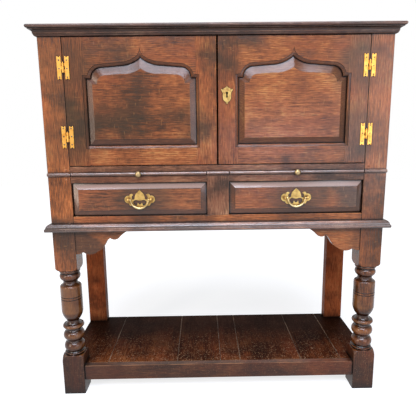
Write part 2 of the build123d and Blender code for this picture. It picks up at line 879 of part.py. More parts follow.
def ogee_opening(grow=0.0):
    """Sight line of a door's panel, about the door's middle line and with heights from the floor, grown by grow."""
    shoulder_x = arch_shoulder - sight_half
    ogee_face(
        (-sight_half, sight_low),
        (shoulder_x, arch_low),
        (shoulder_x + haunch_width, arch_low + haunch_height),
        (-brow_half_width, arch_low + brow_height),
        (0, arch_low + arch_height),
    )
    if grow:
        offset(amount=grow, kind=Kind.INTERSECTION)


def panel_field():
    """Outline of the raised field, which lies well below the arch as on other cupboards of the kind."""
    side_x = door_bevel - sight_half
    shoulder_z = arch_low - field_shoulder_drop
    ogee_face(
        (side_x, sight_low + door_bevel),
        (side_x + arch_shoulder, shoulder_z),
        (side_x + arch_shoulder + field_haunch, shoulder_z + field_haunch),
        (-brow_half_width, arch_low + brow_height - field_brow_drop),
        (0, arch_low + arch_height - field_point_drop),
    )


def carved_spike():
    """Hollow-sided point that the moulding runs up into over the arch."""
    base = arch_low + arch_height + sticking
    root = (spike_half_width, base - spike_root)
    waist = (spike_waist * spike_half_width, base + spike_root)
    tip = (0, arch_low + arch_height + spike_height)
    with BuildLine() as outline:
        ThreePointArc(tip, waist, root)
        Line(root, (0, root[1]))
        mirror(about=Plane.YZ)
    make_face(outline.line)


with BuildPart() as sticking_cutter:
    with BuildSketch(upright(front)):
        ogee_opening(sticking)
        carved_spike()
    extrude(amount=-quirk)
    with BuildSketch(upright(front)):
        ogee_opening()
    extrude(amount=-door_thickness)
    for first, second in zip(ovolo_steps[:-1], ovolo_steps[1:]):
        for angle in (first, second):
            with BuildSketch(upright(front + quirk + ovolo_radius * (1 - cos(radians(angle))))):
                ogee_opening(max(ovolo_radius * (1 - sin(radians(angle))), 0.01))
        loft(ruled=True)
    with BuildSketch(upright(front + door_groove)):
        ogee_opening(groove_depth)
    extrude(amount=-door_groove_width)

with BuildPart() as door_panel_blank:
    tongue_front = front + door_groove + groove_play
    bevel_top = front + field_depth + field_step
    with BuildSketch(upright(tongue_front)):
        ogee_opening(groove_depth - groove_end_play)
    extrude(amount=-(door_groove_width - 2 * groove_play))
    with BuildSketch(upright(tongue_front)):
        ogee_opening(-panel_gap)
    with BuildSketch(upright(bevel_top)):
        panel_field()
    loft(ruled=True)
    with BuildSketch(upright(bevel_top)):
        panel_field()
    extrude(amount=field_step)

hinge_levels = (
    (door_high - hinge_inset - hinge_height, door_high - hinge_inset),
    (door_low + hinge_foot, door_low + hinge_foot + hinge_height),
)
hinge_x = inner - door_gap / 2
hinge_y = front - knuckle_radius
key_x = door_right + key_inset
z_key = door_low + key_height


def keyhole(plane, depth, mode):
    """Keyhole with a round head, a slot and a smaller round foot, cut through to depth."""
    with BuildSketch(plane) as hole:
        with Locations((0, keyhole_centres / 2)):
            Circle(keyhole_round)
        with Locations((0, -keyhole_centres / 2)):
            Circle(keyhole_foot)
        Rectangle(keyhole_slot, keyhole_centres)
    extrude(hole.sketch, amount=-depth, mode=mode)


def door_tenon_ranges(end, low, high):
    """Ranges, about the door's middle, of the tenon at one end of a door rail."""
    y = front + door_groove
    return on_side(end, sight_half, sight_half + door_tenon), (y, y + door_groove_width), (low, high)


top_tenon = (arch_low + sticking + tenon_shoulder, door_high - door_haunch)
foot_tenon = (door_low + door_haunch, sight_low - groove_depth - tenon_shoulder)

for side, hand in ((-1, "left"), (1, "right")):
    door_x = side * door_middle
    with BuildPart() as stiles:
        for end in (-1, 1):
            x = on_side(end, sight_half, door_width / 2)
            timber(x, (front, front + door_thickness), (door_low, door_high))
            for level_range in (top_tenon, foot_tenon):
                timber(*door_tenon_ranges(end, *level_range), mode=Mode.SUBTRACT)
        add(sticking_cutter.part, mode=Mode.SUBTRACT)
    with BuildPart() as top_rail_blank:
        x = (-sight_half, sight_half)
        timber(x, (front, front + door_thickness), (arch_low, door_high))
        add(sticking_cutter.part, mode=Mode.SUBTRACT)
        for end in (-1, 1):
            timber(*door_tenon_ranges(end, *top_tenon))
    with BuildPart() as bottom_rail_blank:
        timber((-sight_half, sight_half), (front, front + door_thickness), (door_low, sight_low))
        add(sticking_cutter.part, mode=Mode.SUBTRACT)
        for end in (-1, 1):
            timber(*door_tenon_ranges(end, *foot_tenon))

    placed = {
        "stiles": stiles.part,
        "top_rail": top_rail_blank.part,
        "bottom_rail": bottom_rail_blank.part,
        "panel": door_panel_blank.part,
    }
    for name, blank in placed.items():
        with BuildPart() as door_piece:
            add(Pos(door_x, 0, 0) * blank)
            if side == 1 and name == "stiles":
                keyhole(upright(front, key_x, z_key), door_thickness, Mode.SUBTRACT)
        finish(door_piece, f"{hand}_door_{name}")

# ------------------------------------------------------------------ H hinges
hinge_bar_near = hinge_gap / 2


def hinge_knuckles(outward, level, outer_knuckles):
    """One leaf of an H hinge: a notched bar, its tabs and its knuckles; outward is 1 or -1 from the pin."""
    middle = (level[0] + level[1]) / 2
    tall = hinge_height / 2
    with BuildSketch(upright(front, side * hinge_x, middle)) as bar:
        with Locations((outward * (hinge_bar_near + hinge_leaf_width / 2), 0)):
            Rectangle(hinge_leaf_width, hinge_height)
        for end in (-1, 1):
            with Locations((outward * (hinge_bar_near + hinge_leaf_width / 2), end * tall)):
                Circle(hinge_notch, mode=Mode.SUBTRACT)
    extrude(bar.sketch, amount=hinge_leaf_thickness)
    steps = (-1, 1) if outer_knuckles else (0,)
    for step in steps:
        centre = middle + step * (knuckle_length + knuckle_play)
        z = (centre - knuckle_length / 2, centre + knuckle_length / 2)
        x = sorted((side * hinge_x, side * hinge_x + outward * (hinge_bar_near + hinge_leaf_width / 2)))
        timber(x, (front - hinge_leaf_thickness, front), z)
        with BuildSketch(Plane.XY.offset(z[0])) as knuckle:
            with Locations((side * hinge_x, hinge_y)):
                Circle(knuckle_radius)
        extrude(knuckle.sketch, amount=knuckle_length)


def pin_hole(level, play):
    """Bore for the hinge pin through whatever stands in its way."""
    with BuildSketch(Plane.XY.offset(level[0])) as bore:
        with Locations((side * hinge_x, hinge_y)):
            Circle(pin_radius + play)
    extrude(bore.sketch, amount=hinge_height, mode=Mode.SUBTRACT)


with BuildPart() as post_leaves:
    for side in (-1, 1):
        for level_range in hinge_levels:
            hinge_knuckles(side, level_range, outer_knuckles=False)
            pin_hole(level_range, pin_play)
finish(post_leaves, "hinge_post_leaves")

for side, hand in ((-1, "left"), (1, "right")):
    with BuildPart() as door_leaves:
        for level_range in hinge_levels:
            hinge_knuckles(-side, level_range, outer_knuckles=True)
            pin_hole(level_range, pin_play)
    finish(door_leaves, f"{hand}_hinge_leaves")

pin_length = 3 * knuckle_length + 2 * knuckle_play + 2 * pin_stand
with BuildPart() as hinge_pins:
    for side in (-1, 1):
        for low, high in hinge_levels:
            pin_low = (low + high - pin_length) / 2
            with BuildSketch(Plane.XY.offset(pin_low)):
                with Locations((side * hinge_x, hinge_y)):
                    Circle(pin_radius)
            extrude(amount=pin_length)
            with BuildSketch(Plane.XY.offset(pin_low + pin_length)):
                with Locations((side * hinge_x, hinge_y)):
                    Circle(pin_head)
            extrude(amount=pin_head, taper=pin_taper)
finish(hinge_pins, "hinge_pins")

# ------------------------------------------------------------------ lock on the right door
key_plane = upright(front, key_x, z_key)


def on_escutcheon(x, z):
    """Point at these shares of the escutcheon's height."""
    return (x * escutcheon_height, z * escutcheon_height)


with BuildPart() as escutcheon:
    with BuildSketch(key_plane):
        with BuildLine():
            curved(escutcheon_edge, on_escutcheon)
            foot = on_escutcheon(*escutcheon_edge[-1][1])
            Line(foot, (0, foot[1]))
            mirror(about=Plane.YZ)
        make_face()
        drop_centre, drop_radius = escutcheon_drop
        with Locations(on_escutcheon(0, -drop_centre)):
            Circle(drop_radius * escutcheon_height)
    extrude(amount=escutcheon_thickness)
    keyhole(key_plane.offset(escutcheon_thickness), escutcheon_thickness, Mode.SUBTRACT)
finish(escutcheon, "escutcheon")

lock_y = (front + door_thickness, front + door_thickness + lock_depth)
lock_x = (door_right + lock_edge, door_right + lock_edge + lock_width)
lock_z = (z_key - lock_height / 2, z_key + lock_height / 2)
drill_z = z_key + keyhole_centres / 2
bolt_low_z = drill_z + drill_pin_radius + drill_pin_end
lock_bolt_z = (bolt_low_z, bolt_low_z + lock_bolt_height)
lock_bolt_front = lock_y[0] + (lock_depth - lock_wall - lock_bolt_thickness) / 2
lock_bolt_y = (lock_bolt_front, lock_bolt_front + lock_bolt_thickness)
guide_x = (lock_x[1] - lock_wall - 2 * talon_width, lock_x[1] - lock_wall)
with BuildPart() as lock_case:
    timber(lock_x, lock_y, lock_z)
    inside_x = (lock_x[0] + lock_wall, lock_x[1] - lock_wall)
    inside_z = (lock_z[0] + lock_wall, lock_z[1] - lock_wall)
    timber(inside_x, (lock_y[0], lock_y[1] - lock_wall), inside_z, Mode.SUBTRACT)
    # block that guides the tail of the bolt, then its slot and the slot in the case's edge
    timber(guide_x, (lock_y[0], lock_y[1] - lock_wall), (lock_bolt_z[0] - talon_depth, lock_bolt_z[1] + talon_depth))
    timber(
        (lock_x[0], guide_x[1]),
        (lock_bolt_y[0] - lock_play, lock_bolt_y[1] + lock_play),
        (lock_bolt_z[0] - lock_play, lock_bolt_z[1] + lock_play),
        Mode.SUBTRACT,
    )
    # drill pin that the key turns on
    with BuildSketch(upright(lock_y[1] - lock_wall, key_x, drill_z)):
        Circle(drill_pin_radius)
    extrude(amount=lock_depth - lock_wall - drill_pin_end)
finish(lock_case, "lock_case")

with BuildPart() as lock_bolt:
    timber((lock_x[0], guide_x[1] - lock_wall), lock_bolt_y, lock_bolt_z)
    # talon that the key's bit pushes against
    talon = (key_x - talon_width / 2, key_x + talon_width / 2)
    timber(talon, lock_bolt_y, (lock_bolt_z[0], lock_bolt_z[0] + talon_depth), Mode.SUBTRACT)
finish(lock_bolt, "lock_bolt")

# ------------------------------------------------------------------ bolt inside the left door
staple_x = (bolt_x - staple_plate[0] / 2, bolt_x + staple_plate[0] / 2)
staple_low = door_low + staple_set
staple_high = staple_low + staple_plate[2]
staple_y = front + door_thickness
with BuildPart() as door_bolt_staples:
    timber(staple_x, (staple_y, staple_y + staple_plate[1]), (staple_low, staple_high))
    reach = bolt_y + door_bolt_radius + staple_wall
    for low in (staple_low + staple_height, staple_high - 2 * staple_height):
        timber((bolt_x - staple_width / 2, bolt_x + staple_width / 2), (staple_y, reach), (low, low + staple_height))
    with BuildSketch(Plane.XY.offset(staple_low)):
        with Locations((bolt_x, bolt_y)):
            Circle(door_bolt_radius + door_bolt_play)
    extrude(amount=staple_plate[2], mode=Mode.SUBTRACT)
finish(door_bolt_staples, "door_bolt_staples")

with BuildPart() as door_bolt:
    with BuildSketch(Plane.XY.offset(door_low)):
        with Locations((bolt_x, bolt_y)):
            Circle(door_bolt_radius)
    extrude(amount=door_bolt_length)
    chamfer(door_bolt.edges().group_by(Axis.Z)[0], length=door_bolt_radius * 0.3)
    # thumb knob
    stem_end = bolt_y + door_bolt_radius + bolt_knob_stand
    for root, radius, length in (
        (bolt_y, bolt_knob_radius / 2, stem_end - bolt_y),
        (stem_end, bolt_knob_radius, bolt_knob_stand),
    ):
        with BuildSketch(Plane(origin=(bolt_x, root, (staple_low + staple_high) / 2), z_dir=(0, 1, 0))):
            Circle(radius)
        extrude(amount=length)
finish(door_bolt, "door_bolt")

# ------------------------------------------------------------------ drawers
opening_middle = (muntin_half + inner) / 2
drawer_width = inner - muntin_half - 2 * drawer_play
drawer_low = z_drawer + seat_play
drawer_high = z_drawer_top - drawer_head_play
drawer_height = drawer_high - drawer_low
face_plate_y = front + drawer_bevel_rise + field_step
drawer_front_back = front + drawer_front_thickness
drawer_back_y = drawer_front_back - dovetail_length + drawer_length
side_high = drawer_high - drawer_side_drop
drawer_half = drawer_width / 2
drawer_bottom_z = drawer_low + drawer_bottom_set
tail_pitch = (side_high - drawer_low) / dovetail_count
z_pull = z_drawer + drawer_opening / 2


def dovetails(x, y_narrow, y_wide, grow, mode):
    """Tails along a side board's end, narrow at the shoulder and wide at the end, across the range x."""
    direction = 1 if y_wide > y_narrow else -1
    neck = dovetail_neck * tail_pitch / 2 + grow
    wide = neck + dovetail_flare
    y_end = y_wide + direction * grow
    for n in range(dovetail_count):
        level = drawer_low + tail_pitch * (n + 0.5)
        with BuildSketch(sideways(x[0])) as tail:
            with BuildLine():
                Polyline(
                    (y_narrow, level - neck), (y_narrow, level + neck), (y_end, level + wide), (y_end, level - wide),
                    close=True,
                )
            make_face()
        extrude(tail.sketch, amount=x[1] - x[0], mode=mode)


def on_plate(x, z):
    """Point at these shares of the distance between a pull's posts."""
    return (x * pull_centres, z * pull_centres)


for side, hand in ((-1, "left"), (1, "right")):
    middle = side * opening_middle
    x_left = middle - drawer_half
    x_right = middle + drawer_half
    side_strips = ((x_left, x_left + drawer_side_thickness), (x_right - drawer_side_thickness, x_right))
    bottom_inset = drawer_side_thickness - drawer_groove_depth
    bottom_x = (x_left + bottom_inset, x_right - bottom_inset)
    bottom_z = (drawer_bottom_z, drawer_bottom_z + drawer_bottom_thickness)
    tail_front = drawer_front_back - dovetail_length
    back_board_y = (drawer_back_y - drawer_side_thickness, drawer_back_y)

    with BuildPart() as drawer_front:
        timber((x_left, x_right), (face_plate_y, drawer_front_back), (drawer_low, drawer_high))
        raised_field(
            upright(face_plate_y, middle, (drawer_low + drawer_high) / 2),
            drawer_width, drawer_height, drawer_bevel, drawer_bevel_rise, field_step,
        )
        for strip in side_strips:
            socket = (strip[0] - dovetail_play, strip[1] + dovetail_play)
            dovetails(socket, drawer_front_back, tail_front, dovetail_play, Mode.SUBTRACT)
        timber(bottom_x, (drawer_front_back - drawer_groove_depth, drawer_front_back), bottom_z, Mode.SUBTRACT)
        with BuildSketch(upright(front, middle, z_pull)):
            with Locations((-pull_centres / 2, 0), (pull_centres / 2, 0)):
                Circle(pull_stem_radius + pull_post_play)
        extrude(amount=-drawer_front_thickness, mode=Mode.SUBTRACT)
    finish(drawer_front, f"{hand}_drawer_front")

    with BuildPart() as drawer_box:
        for strip in side_strips:
            timber(strip, (drawer_front_back, back_board_y[0]), (drawer_low, side_high))
            dovetails(strip, drawer_front_back, tail_front, 0.0, Mode.ADD)
            dovetails(strip, back_board_y[0], drawer_back_y, 0.0, Mode.ADD)
        timber(bottom_x, (drawer_front_back - drawer_groove_depth, drawer_back_y), bottom_z, Mode.SUBTRACT)
    with BuildPart() as drawer_back:
        timber((x_left, x_right), (back_board_y[0] + dovetail_play, back_board_y[1]), (bottom_z[1], side_high))
        for strip in side_strips:
            socket = (strip[0] - dovetail_play, strip[1] + dovetail_play)
            dovetails(socket, back_board_y[0], drawer_back_y, dovetail_play, Mode.SUBTRACT)
    with BuildPart() as drawer_sides_and_back:
        add(drawer_box.part)
        add(drawer_back.part)
    finish(drawer_sides_and_back, f"{hand}_drawer_box")

    with BuildPart() as drawer_bottom:
        timber(
            (bottom_x[0] + groove_end_play, bottom_x[1] - groove_end_play),
            (drawer_front_back - drawer_groove_depth + groove_end_play, drawer_back_y),
            (bottom_z[0] + groove_play / 2, bottom_z[1] - groove_play / 2),
        )
    finish(drawer_bottom, f"{hand}_drawer_bottom")

    # -------------------------------------------------------------- pull: pierced backplate, posts and bail
    pull_plane = upright(front, middle, z_pull)
    ball_y = front - pull_stand
    with BuildPart() as backplate:
        with BuildSketch(pull_plane):
            with BuildLine():
                curved(pull_plate_edge, on_plate)
                mirror(about=Plane.YZ)
            make_face()
            corner, crown, foot, cleft = [on_plate(*point) for point in pull_heart]
            with BuildLine():
                ThreePointArc((-corner[0], corner[1]), crown, corner)
                Line(corner, foot)
                ThreePointArc(foot, cleft, (-foot[0], foot[1]))
                Line((-foot[0], foot[1]), (-corner[0], corner[1]))
            make_face(mode=Mode.SUBTRACT)
            leaf_x, leaf_z = on_plate(*pull_leaf)
            with Locations(Location((-leaf_x, leaf_z), leaf_lean + 90), Location((leaf_x, leaf_z), 90 - leaf_lean)):
                Ellipse(leaf_length / 2, leaf_width / 2, mode=Mode.SUBTRACT)
            with Locations((-pull_centres / 2, 0), (pull_centres / 2, 0)):
                Circle(pull_post_radius + pull_post_play, mode=Mode.SUBTRACT)
        extrude(amount=pull_plate_thickness)
    with BuildPart() as pull_posts:
        for end in (-1, 1):
            axis_x = middle + end * pull_centres / 2
            ball_root = ((pull_ball_radius**2 - pull_post_radius**2) ** 0.5 - pull_stand, pull_post_radius)
            ball_end = (-pull_stand - pull_ball_radius, 0)
            stem_end = (pull_stem_length, pull_stem_radius)
            with BuildSketch(sideways(axis_x, front, z_pull)):
                with BuildLine():
                    Polyline(ball_end, (pull_stem_length, 0), stem_end, (0, pull_stem_radius), (0, pull_post_radius))
                    Line((0, pull_post_radius), ball_root)
                    ThreePointArc(ball_root, (-pull_stand, pull_ball_radius), ball_end)
                make_face()
            revolve(axis=Axis((axis_x, front, z_pull), (0, 1, 0)))
            with BuildSketch(upright(drawer_front_back, axis_x, z_pull)):
                RegularPolygon(pull_nut_radius, 4)
            extrude(amount=-pull_nut_thickness)
            with BuildSketch(sideways(axis_x, ball_y, z_pull)):
                Circle(bail_pin_radius + bail_pin_play)
            extrude(amount=-end * 2 * pull_ball_radius, mode=Mode.SUBTRACT)
    with BuildPart() as pull_mount:
        add(backplate.part)
        add(pull_posts.part)
    finish(pull_mount, f"{hand}_pull_backplate")

    with BuildPart() as bail:
        bail_end = pull_centres / 2 - pull_ball_radius - bail_end_play
        neck = bail_end - bail_neck
        with BuildSketch(upright(ball_y + bail_thickness / 2, middle, z_pull)):
            with BuildLine():
                ThreePointArc((-bail_end, bail_rise), (0, -bail_drop), (bail_end, bail_rise))
                Line((bail_end, bail_rise), (neck, bail_rise))
                ThreePointArc((neck, bail_rise), (0, bail_width - bail_drop), (-neck, bail_rise))
                Line((-neck, bail_rise), (-bail_end, bail_rise))
            make_face()
        extrude(amount=bail_thickness)
        fillet(bail.edges().filter_by(GeomType.CIRCLE), radius=bail_round)
        for end in (-1, 1):
            root = bail_end - bail_neck / 2
            with BuildSketch(sideways(middle + end * root, ball_y, z_pull)):
                Circle(bail_pin_radius)
            extrude(amount=end * (pull_centres / 2 - root - bail_pin_play))
    finish(bail, f"{hand}_pull_bail")

    # -------------------------------------------------------------- candle slide and its knob
    slide_half = drawer_half + drawer_play - slide_side_play
    slide_thickness = slide_slot - 2 * slide_play
    nose = slide_thickness / 2
    z_slide_middle = z_slide + slide_slot / 2
    with BuildPart() as slide:
        with BuildSketch(sideways(middle, front, z_slide_middle)):
            with BuildLine():
                low_lip, high_lip = (nose - bead_reach, -nose), (nose - bead_reach, nose)
                Polyline(low_lip, (slide_length, -nose), (slide_length, nose), high_lip)
                ThreePointArc(high_lip, (-bead_reach, 0), low_lip)
            make_face()
        extrude(amount=slide_half, both=True)
        with BuildSketch(upright(front - bead_reach, middle, z_slide_middle)):
            Circle(knob_spigot_radius)
        extrude(amount=-knob_spigot_length - groove_end_play, mode=Mode.SUBTRACT)
    finish(slide, f"{hand}_slide")

    with BuildPart() as slide_knob:
        knob_root = front - bead_reach
        # x is out from the axis and y is inwards, so the knob stands on the negative side
        with BuildSketch(Plane(origin=(middle, knob_root, z_slide_middle), x_dir=(1, 0, 0), z_dir=(0, 0, 1))):
            with BuildLine():
                brim = (knob_radius, knob_round - knob_reach)
                throat = (knob_neck_radius, brim[1] + knob_round)
                foot = (knob_foot_radius, -knob_foot)
                Polyline((0, knob_spigot_length), (0, -knob_reach))
                ThreePointArc((0, -knob_reach), (0.72 * knob_radius, brim[1] - 0.68 * knob_round), brim)
                ThreePointArc(brim, (0.8 * knob_radius, (brim[1] + throat[1]) / 2), throat)
                ThreePointArc(throat, (1.15 * knob_neck_radius, (throat[1] + foot[1]) / 2), foot)
                Polyline(
                    foot, (knob_foot_radius, 0), (knob_spigot_radius, 0), (knob_spigot_radius, knob_spigot_length),
                    (0, knob_spigot_length),
                )
            make_face()
        revolve(axis=Axis((middle, knob_root, z_slide_middle), (0, 1, 0)))
    finish(slide_knob, f"{hand}_slide_knob")
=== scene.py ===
# %% [markdown]
# # A joined oak court cupboard
# The piece is a cupboard of two panelled doors over two drawers, carried on turned front legs and a low
# potboard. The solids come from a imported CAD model, which is loaded here as a fixed frame: its nodes stay
# where they are. Everything below either gives a node a better surface or makes a new surface that rides
# with one of its bodies.

# %% Load the frame
import functools
import json
import math

import bmesh
import bpy
import numpy as np
from mathutils import Matrix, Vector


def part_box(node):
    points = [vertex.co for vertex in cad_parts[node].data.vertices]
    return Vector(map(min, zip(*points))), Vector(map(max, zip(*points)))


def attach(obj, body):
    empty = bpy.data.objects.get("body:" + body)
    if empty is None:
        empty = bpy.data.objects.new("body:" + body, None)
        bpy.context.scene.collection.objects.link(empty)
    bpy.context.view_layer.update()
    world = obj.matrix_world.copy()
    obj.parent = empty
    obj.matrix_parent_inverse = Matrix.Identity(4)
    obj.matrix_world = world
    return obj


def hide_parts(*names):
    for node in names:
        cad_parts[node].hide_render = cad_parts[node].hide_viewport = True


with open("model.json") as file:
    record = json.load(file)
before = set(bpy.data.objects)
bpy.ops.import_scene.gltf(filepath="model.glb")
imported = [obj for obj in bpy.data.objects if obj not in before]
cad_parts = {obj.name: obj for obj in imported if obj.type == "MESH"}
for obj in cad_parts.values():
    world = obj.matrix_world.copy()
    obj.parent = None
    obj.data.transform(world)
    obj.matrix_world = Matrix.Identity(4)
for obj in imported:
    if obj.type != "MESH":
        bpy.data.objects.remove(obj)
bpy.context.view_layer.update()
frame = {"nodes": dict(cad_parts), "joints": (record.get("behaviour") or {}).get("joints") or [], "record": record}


members_of = frame["record"]["behaviour"]["bodies"]
body_of = {node: body for body, members in members_of.items() for node in members}
joint_place = {joint["name"]: joint.get("pos_m") for joint in frame["joints"]}

# %% [markdown]
# ## Colours and nodes
# Colours are written as the hex values that a painter would pick on a screen, and Cycles wants them linear.
# One small function adds any node with its settings and links. It takes the place of a function for each
# kind, and lets a material read as a recipe.

# %% Colour and node helpers


def linear(hex_colour):
    """sRGB hex to linear RGBA: c/12.92 below 0.04045, else ((c + 0.055)/1.055) to the power 2.4."""
    c = np.array([int(hex_colour[i : i + 2], 16) / 255 for i in (1, 3, 5)])
    c = np.where(c <= 0.04045, c / 12.92, ((c + 0.055) / 1.055) ** 2.4)
    return (*map(float, c), 1.0)


def add(tree, kind, links=(), out=0, stops=(), **settings):
    """Add one node with its settings and links, and return one of its outputs, or the node if it has none.

    links pairs an input's name or number with a socket, a number or a hex colour. stops are a ramp's."""
    made = tree.nodes.new("ShaderNode" + kind)
    for name, value in settings.items():
        setattr(made, name, value)
    for place, value in dict(links).items():
        if isinstance(value, bpy.types.NodeSocket):
            tree.links.new(value, made.inputs[place])
        else:
            made.inputs[place].default_value = linear(value) if isinstance(value, str) else value
    for _ in stops[2:]:
        made.color_ramp.elements.new(1.0)
    for number, (position, colour) in enumerate(stops):
        made.color_ramp.elements[number].position = position
        made.color_ramp.elements[number].color = linear(colour)
    return made.outputs[out] if len(made.outputs) else made


def new_material(name):
    """Material with an empty node tree, and the adding function bound to that tree."""
    material = bpy.data.materials.new(name)
    material.use_nodes = True
    material.node_tree.nodes.clear()
    return material, functools.partial(add, material.node_tree)


print("oak mid tone, linear:", [round(v, 3) for v in linear("#8f5a3a")[:3]])

# %% [markdown]
# ## Oak
# The wood is riven and sawn oak, planed by hand, stained by age and waxed for three centuries. Pictures of
# boards repeat and have to be unwrapped, so the figure is worked out from noise. It belongs to the board and
# not to the room, so each board carries its own coordinates in metres: along the grain, across the face and
# into the depth, shifted by a chance amount. Dirt and polish don't stop at a joint, so those patches are read
# from the place on the whole cupboard.

# %% Places of the fittings
# the middles of the hinges and of the pull on the right half, round which the wood is stained
hinge_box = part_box("left_hinge_leaves")
plate_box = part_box("right_pull_backplate")
hinge_half = 0.038
hinge_x = 0.489
front_plane = 0.2
hinge_levels = (hinge_box[1].z - hinge_half, hinge_box[0].z + hinge_half)
fittings = (
    *((hinge_x, front_plane, level) for level in hinge_levels),
    ((plate_box[0].x + plate_box[1].x) / 2, front_plane, (plate_box[0].z + plate_box[1].z) / 2),
)
print("hinges at", [round(level, 3) for level in hinge_levels], "m")

# %% Patterns of the wood
# where the patches of tone and of old polish happen to lie
shifts = {"clouds": (8.9, 16.8, 14.0), "polish": (26.7, 20.7, 33.2)}


def patterns(node, grain, place):
    """The fields of an oak by name: noise of several sizes, the board's own tone and growth rings."""
    # slow bends of the fibres, about 10 mm aside over half a metre
    bend = node("VectorMath", {0: grain, 1: (2.2, 8.0, 8.0)}, operation="MULTIPLY")
    bend = node("TexNoise", {"Vector": bend, "Scale": 1.0, "Detail": 2.0}, out="Color")
    fibre = node("VectorMath", {0: bend, 1: (0.0, 0.02, 0.02), 2: grain}, operation="MULTIPLY_ADD")

    # each field: coordinates, cycles per metre along and across, detail. Real vessels are 0.3 mm wide and are
    # drawn 1 to 3 mm wide here, since finer ones would only shimmer
    fields = {"tone": node("Attribute", out="Fac", attribute_name="tone")}
    for field, where, cycles, detail in (
        ("streaks", fibre, (8.0, 150.0, 150.0), 4.0),
        ("ticks", fibre, (36.0, 480.0, 480.0), 3.0),
        ("pores", grain, (38.0, 900.0, 900.0), 1.0),
        ("flecks", fibre, (190.0, 46.0, 46.0), 1.0),
        ("planing", grain, (15.0, 26.0, 26.0), 1.0),
        ("board", fibre, (3.0, 14.0, 14.0), 3.0),
        ("clouds", place, (9.0, 8.0, 8.0), 5.0),
        ("polish", place, (3.2, 3.6, 4.2), 5.0),
        ("scuffs", place, (170.0, 260.0, 260.0), 3.0),
    ):
        shift = shifts.get(field, (0, 0, 0))
        spread = node("VectorMath", {0: where, 1: cycles, 2: shift}, operation="MULTIPLY_ADD")
        noise = {"Vector": spread, "Scale": 1.0, "Detail": detail, "Roughness": 0.62}
        fields[field] = node("TexNoise", noise)

    # growth rings are cylinders along the grain, about 5 mm apart: a wave texture of scale s has one in
    # every 0.314 / s
    fields["rings"] = node(
        "TexWave", {"Vector": fibre, "Scale": 62.0, "Distortion": 2.0, "Detail": 2.0, "Detail Scale": 30.0},
        wave_type="RINGS", rings_direction="X",
    )
    return fields


print("moved patches:", sorted(shifts))

# %% Oak material
# the levels of the figure that take the four tones
levels = (0.40, 0.47, 0.53, 0.60)


